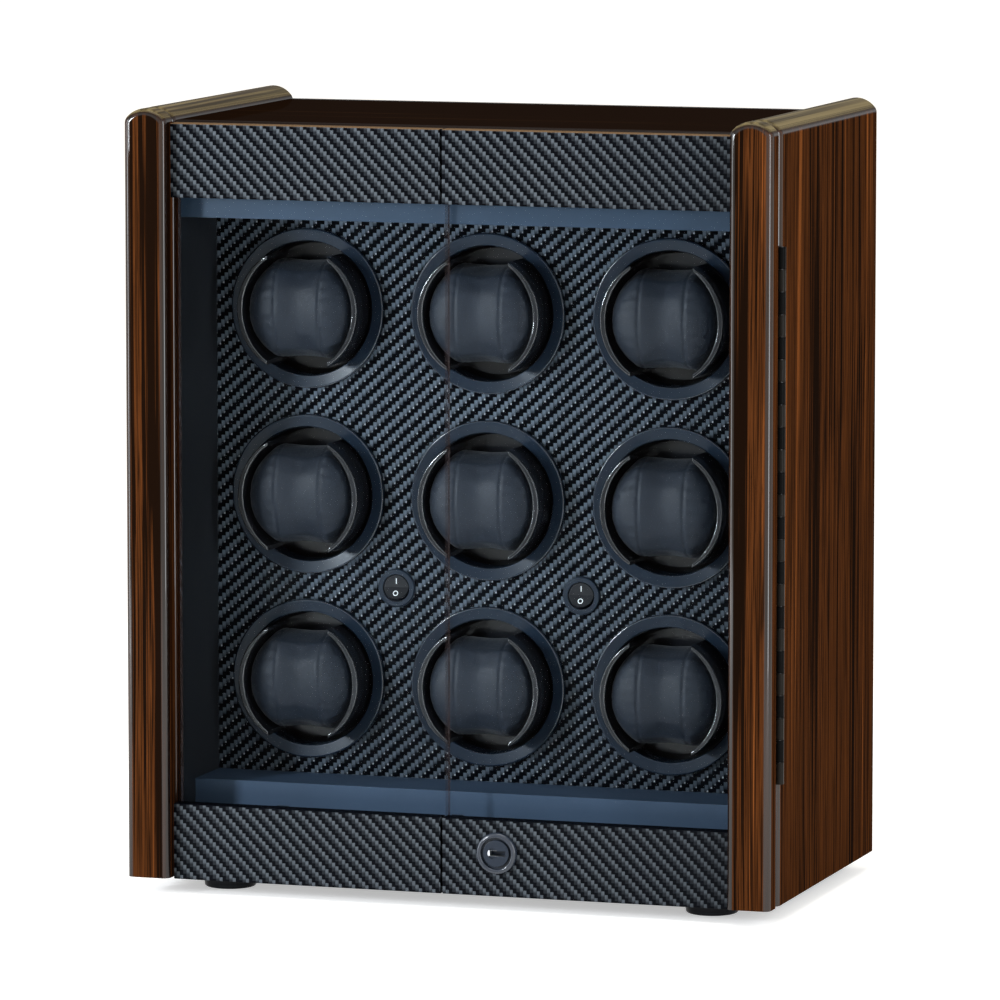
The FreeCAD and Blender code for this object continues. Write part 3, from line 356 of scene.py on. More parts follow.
class WinderMarks(bpy.types.PropertyGroup):
    """Raised on and off marks of the rockers"""
    white: colour("White", "Colour of the marks", (0.80, 0.82, 0.84))
    height: length("Height", "Height of a mark", 0.0032)
    stroke: length("Stroke", "Width of a mark's line", 0.0005)
    lift: length("Lift", "How far a mark stands up from its rocker", 0.00006)
    reach: length("Reach", "Distance of a mark from the rocker's pivot", 0.0041)


def aimed(thing, place, target):
    """Put a lamp or camera at a place, looking at a target."""
    thing.location = place
    thing.rotation_mode = "QUATERNION"
    thing.rotation_quaternion = (place - target).to_track_quat("Z", "Y")
    bpy.context.scene.collection.objects.link(thing)


def direction(azimuth, elevation):
    """Unit vector from the cabinet towards a place round it."""
    level = math.cos(elevation)
    return Vector((math.sin(azimuth) * level, -math.cos(azimuth) * level, math.sin(elevation)))


# Soft boxes: name, azimuth and elevation in degrees, distance, width, height, power, tint.
LAMPS = (
    ("key_box", -36.0, 10.0, 1.6, 0.16, 0.36, 17.5, (0.90, 0.95, 1.0)),
    ("left_box", -62.0, 6.0, 1.2, 0.16, 1.0, 7.0, (0.86, 0.93, 1.0)),
    ("right_box", 62.0, 8.0, 1.2, 0.26, 1.0, 7.5, (0.90, 0.95, 1.0)),
    ("top_box", 20.0, 78.0, 2.0, 1.4, 1.0, 14.0, WHITE),
)
STAGE_MIDDLE = Vector((0.0, 0.0, 0.23))
# Heights on the surround, as the Z of a direction, between which its light grows.
ROOM_EDGE = (0.11, 0.30)
FLOOR_SPAN = 30.0
FLOOR_DROP = 0.2 * MM
# Glow that brings the floor to white where it is seen; its shadow stays.
FLOOR_LIFT = 0.46
SENSOR_WIDTH = 36.0
CAMERA_REACH = 100.0


def make_lamps():
    for name, azimuth, elevation, distance, width, height, power, tint in LAMPS:
        lamp = bpy.data.lights.new(name, "AREA")
        lamp.shape = "RECTANGLE"
        lamp.size = width
        lamp.size_y = height
        lamp.energy = power
        lamp.color = tint
        box = bpy.data.objects.new(name, lamp)
        box.visible_camera = False
        way = direction(math.radians(azimuth), math.radians(elevation))
        aimed(box, STAGE_MIDDLE + distance * way, STAGE_MIDDLE)


def white_share(finish):
    """One for a ray that sees the white surround: straight, in gloss or through glass."""
    path = finish.add("ShaderNodeLightPath").socket.node.outputs
    straight, gloss, through = (Value(finish, path[name]) for name in (
        "Is Camera Ray", "Is Glossy Ray", "Is Transmission Ray"))
    return finish.maths("MAXIMUM", straight, finish.maths("MAXIMUM", gloss, through))


def make_world(look):
    """A room that is bright overhead for the light, and plain white behind the cabinet."""
    world = bpy.data.worlds.new("studio")
    bpy.context.scene.world = world
    world.use_nodes = True
    finish = Finish(world.node_tree)
    height = finish.parts(finish.add("ShaderNodeTexCoord", out="Generated"))[2]
    room = finish.smooth(height, *ROOM_EDGE, look.horizon, look.zenith)
    seen = white_share(finish)
    tint = finish.mix(seen, look.room_colour, WHITE)
    sky = finish.add("ShaderNodeBackground", None, {
        "Strength": room + (1.0 - room) * seen, "Color": tint})
    finish.add("ShaderNodeOutputWorld", None, {"Surface": sky})


def make_floor(look):
    """A pale floor that keeps the shadow and runs into the white behind it."""
    mesh = bpy.data.meshes.new("floor")
    half = FLOOR_SPAN / 2
    corners = [(-half, -half, -FLOOR_DROP), (half, -half, -FLOOR_DROP),
               (half, half, -FLOOR_DROP), (-half, half, -FLOOR_DROP)]
    mesh.from_pydata(corners, [], [(0, 1, 2, 3)])
    floor = bpy.data.objects.new("floor", mesh)
    bpy.context.scene.collection.objects.link(floor)
    material, finish = new_finish("pale_floor")
    paint = finish.add("ShaderNodeBsdfDiffuse", None, {"Color": colour_of(look.floor_colour)})
    lift = finish.add("ShaderNodeEmission", None, {
        "Strength": white_share(finish) * FLOOR_LIFT})
    finish.finish_with(finish.add("ShaderNodeAddShader", None, {0: paint, 1: lift}))
    mesh.materials.append(material)


def make_camera(look):
    camera = bpy.data.cameras.new("camera")
    camera.sensor_width = SENSOR_WIDTH
    camera.lens = look.lens
    camera.clip_end = CAMERA_REACH
    target = Vector(look.target)
    view = bpy.data.objects.new("camera", camera)
    aimed(view, target + look.distance * direction(look.azimuth, look.elevation), target)
    bpy.context.scene.camera = view


class WINDER_OT_stage(bpy.types.Operator):
    """Set up the floor, the soft boxes, the white surround and the camera"""
    bl_idname = "winder.stage"
    bl_label = "Stage"

    def execute(self, context):
        look = context.scene.winder_stage
        context.scene.view_settings.view_transform = "Standard"
        make_floor(look)
        make_world(look)
        make_lamps()
        make_camera(look)
        return {"FINISHED"}


# How far a face turns up before its stripes run over an arch and its painted sheen shows, and before its
# gloss is an arch's.
ARCH_TURN = (0.45, 0.75)
ARCH_GLOSS_TURN = (0.2, 0.6)
# How squarely a face meets an axis before it counts as flat, and not as a rounded edge.
FLAT_TURN = (0.985, 0.9995)
# Waves in a metre across, into and along the grain, and how many stripe widths a line wanders.
WANDER_WAVES = (6.0, 6.0, 2.2)
WANDER_REACH = 1.6
# Layers of the grain: waves in a metre along it, and the detail of the noise.
BAND_GRAIN = (1.1, 1.0)
LINE_GRAIN = (1.7, 3.0)
FINE_GRAIN = (5.0, 2.0)
PORE_GRAIN = (55.0, 1.0)
GRAIN_ROUGHNESS = 0.6
FINE_TO_STRIPE = 5.0
PORES_TO_STRIPE = 14.0
BAND_SHARE, LINE_SHARE, FINE_SHARE = 0.34, 0.46, 0.20
# Tones at which the wood goes from ground to brown, back to ground, to brown and to streak.
STRIPE_STOPS = (0.36, 0.46, 0.51, 0.54, 0.59, 0.68)
PORE_RANGE = (0.60, 0.72)
PORE_SHADE = 0.55
EDGE_SHADE = 0.75
# The arch's painted sheen follows the lines: their range, and the shares that it grows between.
ARCH_LINES = (0.35, 0.62)
ARCH_SHARES = (0.15, 0.85)
WOOD_ROUGHNESS, FINE_ROUGHNESS = 0.34, 0.12
LINE_RELIEF, PORE_RELIEF = 0.6, 0.8
WOOD_RELIEF = 0.05 * MM
WOOD_BUMP = 0.35
COAT_IOR = 1.8


def veneer(name, look, ground, brown, streak, flat_gloss, along_x=False):
    """Striped veneer under clear gloss lacquer; the stripes run up, or along X on a top."""
    material, finish = new_finish(name)
    x, y, z = finish.place()
    side, front, rise = finish.facing()
    up = finish.smooth(rise, *ARCH_TURN)
    if along_x:
        along, across, depth = x, y, z
        level = rise
    else:
        along = z + (y - z) * up
        across = x
        depth = y + (z - y) * up
        level = finish.maths("MAXIMUM", abs(side), abs(front))
    flat = finish.smooth(level, *FLAT_TURN)
    wander = finish.mottle((across, depth, along), WANDER_WAVES, detail=1.0)
    sway = (wander - 0.5) * (WANDER_REACH * look.stripe)
    across = across + sway
    depth = depth + sway

    def grain(width, waves_along, detail):
        """Lines of one width, drawn out along the grain."""
        waves = (1.0 / width, 1.0 / width, waves_along)
        return finish.mottle((across, depth, along), waves, detail, GRAIN_ROUGHNESS)
    bands = grain(look.band, *BAND_GRAIN)
    lines = grain(look.stripe, *LINE_GRAIN)
    fine = grain(look.stripe / FINE_TO_STRIPE, *FINE_GRAIN)
    pore = finish.smooth(grain(look.stripe / PORES_TO_STRIPE, *PORE_GRAIN), *PORE_RANGE)
    tone = bands * BAND_SHARE + lines * LINE_SHARE + fine * FINE_SHARE
    tones = (ground, ground, brown, ground, brown, streak)
    wood = finish.ramp(tone, list(zip(STRIPE_STOPS, tones)))
    wood = finish.mix(pore * PORE_SHADE, wood, ground)
    # Painted shade: the rounded edges are darkened towards the ground colour.
    wood = finish.mix((1.0 - flat) * EDGE_SHADE, wood, ground)
    if not along_x:
        # Painted reflection: the arched tops are blended towards the pale arch colour.
        wood = finish.mix(up * finish.smooth(lines, *ARCH_LINES, *ARCH_SHARES), wood, look.arch)
    round_gloss = finish.smooth(rise, *ARCH_GLOSS_TURN, look.edge_gloss, look.arch_gloss)
    finish.surface({
        "Base Color": wood,
        "Roughness": WOOD_ROUGHNESS + fine * FINE_ROUGHNESS,
        "Normal": finish.bump(lines * LINE_RELIEF - pore * PORE_RELIEF, WOOD_RELIEF, WOOD_BUMP),
        "Specular IOR Level": 0.0,
        "Coat Weight": flat * flat_gloss + (1.0 - flat) * round_gloss,
        "Coat Roughness": look.lacquer,
        "Coat IOR": COAT_IOR,
    })
    return material


class WINDER_OT_veneer(bpy.types.Operator):
    """Veneer the side boards and stiles with upright stripes, and the top across"""
    bl_idname = "winder.veneer"
    bl_label = "Veneered boards"

    def execute(self, context):
        look = context.scene.winder_veneer
        striped = veneer("striped_veneer", look, look.ground, look.brown, look.streak,
                         look.flat_gloss)
        dress([f"{side}_{piece}" for side in SIDES for piece in ("side_panel", "stile")], striped)
        dress(["top_panel"], veneer("dark_veneer", look, look.top_ground, look.top_ground,
                                    look.top_streak, look.top_gloss, along_x=True))
        return {"FINISHED"}


# Rows after which the twill repeats, how blunt a bundle's ends are, and the height of a level bundle.
TWILL_ROWS = 4.0
END_POWER = 4.0
WEFT_HEIGHT = 0.5
# Waves to a bundle of its single fibres and of the uneven painted light over the weave.
HAIR_WAVES = (7.0, 0.35, 50.0)
PATCH_WAVES = 0.6
# Painted shading over a bundle's round section and painted light at its upper end: range, then the light
# at its two ends.
ROUND_LIGHT = (0.0, 0.45, 0.30, 1.0)
END_LIGHT = (0.96, 1.0, 1.0, 0.6)
# Least painted light, and what the fibres and patches add to it.
HAIR_LIGHT = (0.55, 0.5)
PATCH_LIGHT = (0.75, 0.5)
# The lower corner of a bundle that gets a painted glint, across and along it, and the patches in which
# it does.
GLINT_ACROSS = (0.62, 0.95)
GLINT_ALONG = (0.03, 0.25)
GLINT_PATCH = (0.40, 0.60)
# Where the painted sheen falls off to the right and to the foot, in metres.
SHEEN_ACROSS = (0.05, 0.17)
SHEEN_UP = (0.06, 0.26)
# How far a rail's face turns up at its upper edge; above this height the edge gets a painted reflection,
# below it painted shade.
BROW_TURN = (0.4, 0.7)
BROW_HEIGHT = 0.2
TWILL_ROUGHNESS, LIT_ROUGHNESS = 0.45, 0.12
HAIR_RELIEF = 0.08
TWILL_RELIEF = 0.22 * MM
TWILL_BUMP = 0.4
RESIN_ROUGHNESS = 0.06


def carbon(name, look, light, warp, weft, slant, cover, rise, fade, glints, coat, sheen):
    """Two-by-two twill of fibre bundles under clear resin.

    Warp and weft are the widths of the bundles and slant is the way the ribs lean. Cover is how much
    of every four rows an upright bundle lies over, rise is the part of it over which the painted
    light grows, fade is what is left of that painted light at its lower end, and glints is how much
    painted glint its lower corner has. Sheen is how much of the painted sheen is left at the right of
    the cabinet and at its foot. The weave's light and shade are painted into the colour and stand in
    for the sheen of the fibres.
    """
    material, finish = new_finish(name)
    x, y, z = finish.place()
    u = x / warp
    v = (z + y) / weft
    along = (v + finish.maths("FLOOR", u) * slant) % TWILL_ROWS / cover
    on_top = along < 1.0
    across = u % 1.0

    def crown(place, power=2.0):
        """Round section of a bundle, from a place of 0 to 1 across it or along it."""
        return 1.0 - abs(place * 2.0 - 1.0) ** power

    def between(value, limits):
        low, high = limits
        return (value > low) * (value < high)

    def lift(value, light_range):
        least, gain = light_range
        return least + value * gain
    upper = crown(across) * crown(along, END_POWER) * on_top
    height = upper + crown(v % 1.0) * (1.0 - on_top) * WEFT_HEIGHT
    hair = finish.mottle((u, v, y), HAIR_WAVES)
    patch = finish.mottle((u, v, 0.0), PATCH_WAVES, detail=1.0)
    end_lit = finish.smooth(along, *rise, fade, 1.0) * finish.smooth(along, *END_LIGHT)
    sheen_right, sheen_foot = sheen
    # Painted fall-off: the sheen is darkened towards the right and the foot of the cabinet.
    painted_fall_off = (finish.smooth(x, *SHEEN_ACROSS, 1.0, sheen_right)
            * finish.smooth(z, *SHEEN_UP, sheen_foot, 1.0))
    # Painted light and shade: each upright bundle is lit along its crown and towards its upper end.
    lit = (on_top * finish.smooth(crown(across), *ROUND_LIGHT) * end_lit
           * lift(hair, HAIR_LIGHT) * lift(patch, PATCH_LIGHT) * painted_fall_off)
    # Painted highlight: a glint at the lower corner of some bundles.
    corner = between(across, GLINT_ACROSS) * between(along, GLINT_ALONG)
    painted_glint = corner * finish.smooth(patch, *GLINT_PATCH) * glints
    twill = finish.mix(painted_glint, finish.mix(lit, look.dark, light), look.glint)
    # Painted reflection and shade on the rails' upper edges: light on the top rails, dark on the bottom
    # rails.
    edge = finish.smooth(finish.facing()[2], *BROW_TURN)
    finish.surface({
        "Base Color": finish.mix(edge, twill, finish.mix(z > BROW_HEIGHT, look.dark, look.top_rail_painted_sheen)),
        "Roughness": TWILL_ROUGHNESS - lit * LIT_ROUGHNESS,
        "Normal": finish.bump(height + hair * HAIR_RELIEF, TWILL_RELIEF, TWILL_BUMP),
        "Specular IOR Level": 0.0,
        "Coat Weight": coat,
        "Coat Roughness": RESIN_ROUGHNESS,
    })
    return material


class WINDER_OT_carbon(bpy.types.Operator):
    """Lay carbon twill on the door rails and the rotor panel"""
    bl_idname = "winder.carbon"
    bl_label = "Carbon twill"

    def execute(self, context):
        look = context.scene.winder_carbon
        dress([f"{side}_{level}_rail" for side in SIDES for level in ("top", "bottom")],
              carbon("rail_twill", look, look.rail_light, look.rail_tow, look.rail_tow,
                     slant=1.0, cover=2.5, rise=(0.30, 0.70), fade=0.20, glints=0.0, coat=0.06,
                     sheen=(0.66, 0.88)))
        dress(["rotor_panel"],
              carbon("panel_twill", look, look.panel_light, look.panel_tow, look.panel_weft,
                     slant=-1.0, cover=2.0, rise=(0.0, 0.6), fade=0.30, glints=0.6, coat=0.03,
                     sheen=(0.60, 0.68)))
        return {"FINISHED"}


# How far a face turns to the front before it shines as an edge, and how softly that ends.
EDGE_TURN = (0.10, 0.35)
EDGE_BLEND = 0.013
# Handling marks: waves in a metre, their share and how much lighter they are.
HAZE_WAVES = 45.0
HAZE_SHARE = 0.35
HAZE_TONE = 1.6
HAZE_ROUGHNESS, PEBBLE_ROUGHNESS = 0.10, 0.05
PEBBLE_RELIEF = 0.02 * MM
PEBBLE_BUMP = 0.3
EDGE_ROUGHNESS = 0.05


def moulded(name, tone, roughness, texture, specular=0.2, coat=0.0, edge_gloss=0.0, flat=0.998):
    """Moulded plastic with a fine texture, faint handling marks and glossier rounded edges.

    Flat is how squarely a face meets the front or back to count as a face and not as an edge.
    """
    material, finish = new_finish(name)
    place = finish.place()
    front = abs(finish.facing()[1])
    edge = finish.smooth(front, *EDGE_TURN) * finish.smooth(front, flat - EDGE_BLEND, flat, 1.0, 0.0)
    pebble = finish.mottle(place, 1.0 / texture)
    haze = finish.mottle(place, HAZE_WAVES, detail=3.0)
    uneven = (haze - 0.5) * HAZE_ROUGHNESS + (pebble - 0.5) * PEBBLE_ROUGHNESS
    finish.surface({
        "Base Color": finish.mix(haze * HAZE_SHARE, tone, toned(tone, HAZE_TONE)),
        "Roughness": roughness + uneven,
        "Normal": finish.bump(pebble, PEBBLE_RELIEF, PEBBLE_BUMP),
        "Specular IOR Level": specular,
        "Coat Weight": coat + edge * edge_gloss,
        "Coat Roughness": EDGE_ROUGHNESS,
        "Coat IOR": COAT_IOR,
    })
    return material


class WINDER_OT_linings(bpy.types.Operator):
    """Line the inside: blue-grey header and plinth, dark sides and base"""
    bl_idname = "winder.linings"
    bl_label = "Linings"

    def execute(self, context):
        look = context.scene.winder_plastic
        # Painted light and shade: the same film gets a darker tone on the header and a lighter one on
        # the plinth.
        for level, tone in (("header", look.header_film_shaded), ("plinth", look.plinth_film_lit)):
            dress([f"{level}_lining"],
                  moulded(f"{level}_film", tone, roughness=0.45, texture=0.4 * MM))
        dress(["left_lining", "right_lining", "base_panel"],
              moulded("dark_film", look.dark_film, roughness=0.40, texture=0.4 * MM))
        return {"FINISHED"}


# A face that turns less than this to the front or back is a pane's cut edge.
PANE_EDGE_TURN = 0.5
PANE_IOR = 1.08
PANE_ROUGHNESS, PANE_COAT_ROUGHNESS = 0.015, 0.01


def pane(name, look):
    """Clear glass: it shows what is behind it, reflects more at a slant and has dark edges."""
    material, finish = new_finish(name)
    edge = abs(finish.facing()[1]) < PANE_EDGE_TURN
    slant = finish.add("ShaderNodeFresnel", None, {"IOR": PANE_IOR})
    clear = finish.add("ShaderNodeBsdfTransparent", None, {"Color": colour_of(look.tint)})
    gloss = finish.add("ShaderNodeBsdfPrincipled", None, {
        "Base Color": colour_of(look.edge), "Roughness": PANE_ROUGHNESS,
        "Coat Weight": 1.0, "Coat Roughness": PANE_COAT_ROUGHNESS})
    cover = finish.maths("MAXIMUM", slant * look.gleam, edge * look.edge_cover)
    finish.finish_with(finish.add("ShaderNodeMixShader", None, {0: cover, 1: clear, 2: gloss}))
    return material


class WINDER_OT_glass(bpy.types.Operator):
    """Glaze both doors"""
    bl_idname = "winder.glass"
    bl_label = "Glass"

    def execute(self, context):
        dress([f"{side}_glass" for side in SIDES], pane("clear_pane", context.scene.winder_glass))
        return {"FINISHED"}


class WINDER_OT_rotors(bpy.types.Operator):
    """Finish the bezel rings in satin black and the cups in gloss black"""
    bl_idname = "winder.rotors"
    bl_label = "Rotors"

    def execute(self, context):
        look = context.scene.winder_plastic
        dress(["bezel_rings"],
              moulded("ring_black", look.satin_black, roughness=0.26, texture=0.5 * MM,
                      specular=0.16, edge_gloss=0.6, flat=0.98))
        dress([f"rotor_cup_{name}" for name in ROTORS],
              moulded("cup_black", look.gloss_black, roughness=0.18, texture=0.6 * MM,
                      specular=0.25, edge_gloss=0.8))
        return {"FINISHED"}


# Pebbles: how evenly they lie, and the distance from their edges over which they rise.
PEBBLE_SPREAD = 0.9
PEBBLE_RISE = (0.02, 0.30)
# Waves in a metre of the fine creases and of the broad changes of tone.
SOFT_WAVES = 160.0
BROAD_WAVES = 38.0
CELL_TONE, BROAD_TONE = 0.5, 0.4
LEATHER_DARK, LEATHER_LIGHT = 0.5, 1.5
LEATHER_ROUGHNESS, GAP_ROUGHNESS, SOFT_ROUGHNESS = 0.36, 0.20, 0.12
CELL_RELIEF, SOFT_RELIEF = 0.5, 0.7
LEATHER_RELIEF = 0.16 * MM
LEATHER_BUMP = 0.55
LEATHER_SPECULAR = 0.26
LEATHER_SHEEN = 0.08


def leather(name, look):
    """Fine pebbled leather with soft creases."""
    material, finish = new_finish(name)
    point = finish.point()
    pebble = finish.add("ShaderNodeTexVoronoi", {"feature": "DISTANCE_TO_EDGE"}, {
        "Vector": point, "Scale": 1.0 / look.grain, "Randomness": PEBBLE_SPREAD})
    cell = finish.smooth(pebble, *PEBBLE_RISE)
    soft = finish.noise(point, SOFT_WAVES, detail=3.0)
    broad = finish.noise(point, BROAD_WAVES)
    uneven = (1.0 - cell) * GAP_ROUGHNESS + (soft - 0.5) * SOFT_ROUGHNESS
    finish.surface({
        "Base Color": finish.mix(cell * CELL_TONE + broad * BROAD_TONE,
                                 toned(look.leather, LEATHER_DARK), toned(look.leather, LEATHER_LIGHT)),
        "Roughness": LEATHER_ROUGHNESS + uneven,
        "Normal": finish.bump(cell * CELL_RELIEF + soft * SOFT_RELIEF, LEATHER_RELIEF, LEATHER_BUMP),
        "Specular IOR Level": LEATHER_SPECULAR,
        "Sheen Weight": LEATHER_SHEEN,
    })
    return material


VOXEL = 1.7 * MM
# The filling runs on a cushion ten times its size, which cloth handles better.
SIM_SCALE = 10.0
SIM_FRAMES = 20
SIM_PRESSURE = 4.0
START_SHRINK = 0.985
# Creases: where they start and fade out beside a seam, and how unevenly they are spaced.
CREASE_START = 1.2 * MM
CREASE_FADE = 5.0 * MM
CREASE_SWAY = 1.7
CREASE_SWAYS = 3.0


def evaluated_mesh(thing):
    """A new mesh with the thing's modifiers applied."""
    graph = bpy.context.evaluated_depsgraph_get()
    return bpy.data.meshes.new_from_object(thing.evaluated_get(graph))


def swollen(mesh, furthest):
    """Fill a cushion by cloth pressure; no point moves further than the furthest."""
    start = [vertex.co.copy() for vertex in mesh.vertices]
    mesh.transform(Matrix.Scale(SIM_SCALE * START_SHRINK, 4))
    blank = bpy.data.objects.new("cushion_blank", mesh)
    bpy.context.scene.collection.objects.link(blank)
    cloth = blank.modifiers.new("fill", "CLOTH")
    cloth.settings.use_pressure = True
    cloth.settings.uniform_pressure_force = SIM_PRESSURE
    cloth.settings.effector_weights.gravity = 0.0
    for number in range(1, SIM_FRAMES + 1):
        bpy.context.scene.frame_set(number)
    filled = evaluated_mesh(blank)
    bpy.context.scene.frame_set(1)
    bpy.data.objects.remove(blank)
    for vertex, home in zip(filled.vertices, start):
        move = vertex.co / SIM_SCALE - home
        if move.length > furthest:
            move = move.normalized() * furthest
        vertex.co = home + move
    return filled


def refined(mesh, kind, **settings):
    """A mesh after one modifier."""
    thing = bpy.data.objects.new("cushion_work", mesh)
    bpy.context.scene.collection.objects.link(thing)
    modifier = thing.modifiers.new(kind, kind)
    for name, setting in settings.items():
        setattr(modifier, name, setting)
    done = evaluated_mesh(thing)
    bpy.data.objects.remove(thing)
    return done


def sewn(mesh, look):
    """Draw in the seam round each cheek and crease the leather that is gathered into it."""
    mesh.update()
    normals = [vertex.normal.copy() for vertex in mesh.vertices]
    for vertex, normal in zip(mesh.vertices, normals):
        beyond = abs(vertex.co.x) - look.seam_place
        seam = math.exp(-(beyond / look.seam_width) ** 2)
        turn = math.atan2(vertex.co.z, vertex.co.y)
        away = max(beyond, 0.0)
        fade = math.exp(-away / CREASE_FADE) * min(away / CREASE_START, 1.0)
        wave = math.sin(look.creases * turn + CREASE_SWAY * math.sin(CREASE_SWAYS * turn))
        vertex.co -= normal * (look.seam_depth * seam + look.crease_depth * fade * wave)


def rotor_middle(name):
    """The point on a rotor's axis, level with the middle of its cushion."""
    low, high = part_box(f"cushion_{name}")
    return (low + high) / 2


def cushion_mesh(look):
    """One leather cushion about its own middle."""
    model = ROTORS[0]
    mesh = NODES[f"cushion_{model}"].data.copy()
    mesh.transform(Matrix.Translation(-rotor_middle(model)))
    mesh = refined(mesh, "REMESH", mode="VOXEL", voxel_size=VOXEL)
    mesh = swollen(mesh, look.swell)
    mesh = refined(mesh, "SUBSURF", levels=1, render_levels=1)
    sewn(mesh, look)
    smooth_shaded(mesh)
    return mesh


class WINDER_OT_cushions(bpy.types.Operator):
    """Fill and sew a leather cushion for each rotor"""
    bl_idname = "winder.cushions"
    bl_label = "Cushions"

    def execute(self, context):
        look = context.scene.winder_cushion
        material = leather("cushion_leather", look)
        mesh = cushion_mesh(look)
        for name in ROTORS:
            own = mesh.copy()
            own.transform(Matrix.Translation(rotor_middle(name)))
            piece = new_piece(f"cushion_cover_{name}", own, material, f"cushion_{name}")
            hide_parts(f"cushion_{name}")
        bpy.data.meshes.remove(mesh)
        return {"FINISHED"}


# From the pivot axis to a rocker's face, and half the angle between its two faces.
PIVOT_DEPTH = 2.15 * MM
ROCKER_TILT = math.radians(12.0)
RING_STEPS = 40


def raised(name, loops, lift):
    """A thin raised shape in XZ that faces -Y, between an outline and the hole in it if there is one."""
    shape = bmesh.new()
    rings = [[shape.verts.new((x, 0.0, z)) for x, z in loop] for loop in loops]
    if len(rings) == 1:
        shape.faces.new(rings[0])
    else:
        outer, inner = rings
        for index in range(len(outer)):
            after = (index + 1) % len(outer)
            shape.faces.new((outer[index], outer[after], inner[after], inner[index]))
    faces = bmesh.ops.extrude_face_region(shape, geom=shape.faces[:])["geom"]
    lifted = [item for item in faces if isinstance(item, bmesh.types.BMVert)]
    bmesh.ops.translate(shape, verts=lifted, vec=(0.0, -lift, 0.0))
    bmesh.ops.recalc_face_normals(shape, faces=shape.faces[:])
    mesh = bpy.data.meshes.new(name)
    shape.to_mesh(mesh)
    shape.free()
    return mesh


def bar_mesh(look):
    """The on mark: an upright bar."""
    half_width, half_height = look.stroke / 2, look.height / 2
    outline = [(-half_width, -half_height), (half_width, -half_height),
               (half_width, half_height), (-half_width, half_height)]
    return raised("on_mark", [outline], look.lift)


def ring_mesh(look):
    """The off mark: a ring."""
    def circle(radius):
        return [(radius * math.cos(step), radius * math.sin(step))
                for step in (math.tau * index / RING_STEPS for index in range(RING_STEPS))]
    outer = look.height / 2
    return raised("off_mark", [circle(outer), circle(outer - look.stroke)], look.lift)


def rocker_pivot(side):
    """The point on a rocker's pivot axis in its middle, from its joint."""
    joint = next(item for item in frame["joints"] if item["child"] == f"{side}_rocker")
    return Vector(joint["pos_m"])


class WINDER_OT_switches(bpy.types.Operator):
    """Finish the rocker switches and mark them on and off"""
    bl_idname = "winder.switches"
    bl_label = "Switches"

    def execute(self, context):
        look = context.scene.winder_plastic
        marks = context.scene.winder_marks
        dress(["switch_housings"],
              moulded("switch_black", look.satin_black, roughness=0.30, texture=0.4 * MM))
        dress([f"{side}_rocker" for side in SIDES],
              moulded("rocker_black", look.gloss_black, roughness=0.25, texture=0.4 * MM))
        white = moulded("mark_white", marks.white, roughness=0.5, texture=0.3 * MM)
        for side in SIDES:
            pivot = rocker_pivot(side)
            flat = Matrix.Translation(pivot + Vector((0.0, -PIVOT_DEPTH, marks.reach)))
            tilted = (Matrix.Translation(pivot) @ Matrix.Rotation(2 * ROCKER_TILT, 4, "X").inverted()
                      @ Matrix.Translation((0.0, -PIVOT_DEPTH, -marks.reach)))
            for mesh, place, mark in ((bar_mesh(marks), flat, "on"), (ring_mesh(marks), tilted, "off")):
                mesh.transform(place)
                new_piece(f"{side}_{mark}_mark", mesh, white, f"{side}_rocker")
        return {"FINISHED"}


# Waves in a metre of the drawn lines, which run up, and of the cloudy tone.
DRAWN_WAVES = (900.0, 900.0, 70.0)
CLOUD_WAVES = 60.0
CLOUD_SHARE = 0.5
CLOUD_TONE = 0.75
DRAWN_ROUGHNESS = 0.18
DRAWN_RELIEF = 0.02 * MM
DRAWN_BUMP = 0.3


def bare_metal(name, tone, roughness):
    """Metal with a fine drawn texture."""
    material, finish = new_finish(name)
    place = finish.place()
    drawn = finish.mottle(place, DRAWN_WAVES, detail=3.0)
    cloud = finish.mottle(place, CLOUD_WAVES)
    finish.surface({
        "Base Color": finish.mix(cloud * CLOUD_SHARE, tone, toned(tone, CLOUD_TONE)),
        "Metallic": 1.0,
        "Roughness": roughness + (drawn - 0.5) * DRAWN_ROUGHNESS,
        "Normal": finish.bump(drawn, DRAWN_RELIEF, DRAWN_BUMP),
    })
    return material


# The keyway's walls: half its height, where they start and end behind the face, and the rim kept dark.
KEYWAY_HALF = 1.63 * MM
KEYWAY_LIP = 0.2 * MM
KEYWAY_FLOOR = 4.0 * MM
PLUG_EDGE = 1.0 * MM
PLUG_WAVES = 400.0
PLUG_HAZE = 0.4
PLUG_ROUGHNESS, PLUG_HAZE_ROUGHNESS = 0.28, 0.10
PLUG_SPECULAR = 0.15


def plug_finish(name, look):
    """The lock's plug: a dark face, and bare metal on the walls of its keyway."""
    material, finish = new_finish(name)
    x, y, z = finish.place()
    low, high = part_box("lock_plug")
    middle = (low + high) / 2
    across, up, depth = x - middle.x, z - middle.z, y - low.y
    inner = across * across + up * up < ((high.x - low.x) / 2 - PLUG_EDGE) ** 2
    wall = (depth > KEYWAY_LIP) * (depth < KEYWAY_FLOOR) * inner * (abs(up) < KEYWAY_HALF)
    haze = finish.mottle((x, y, z), PLUG_WAVES, detail=3.0)
    face = finish.mix(haze * PLUG_HAZE, look.lock, look.satin_black)
    finish.surface({
        "Base Color": finish.mix(wall, face, look.keyway),
        "Metallic": wall,
        "Roughness": PLUG_ROUGHNESS + haze * PLUG_HAZE_ROUGHNESS,
        "Specular IOR Level": PLUG_SPECULAR,
    })
    return material


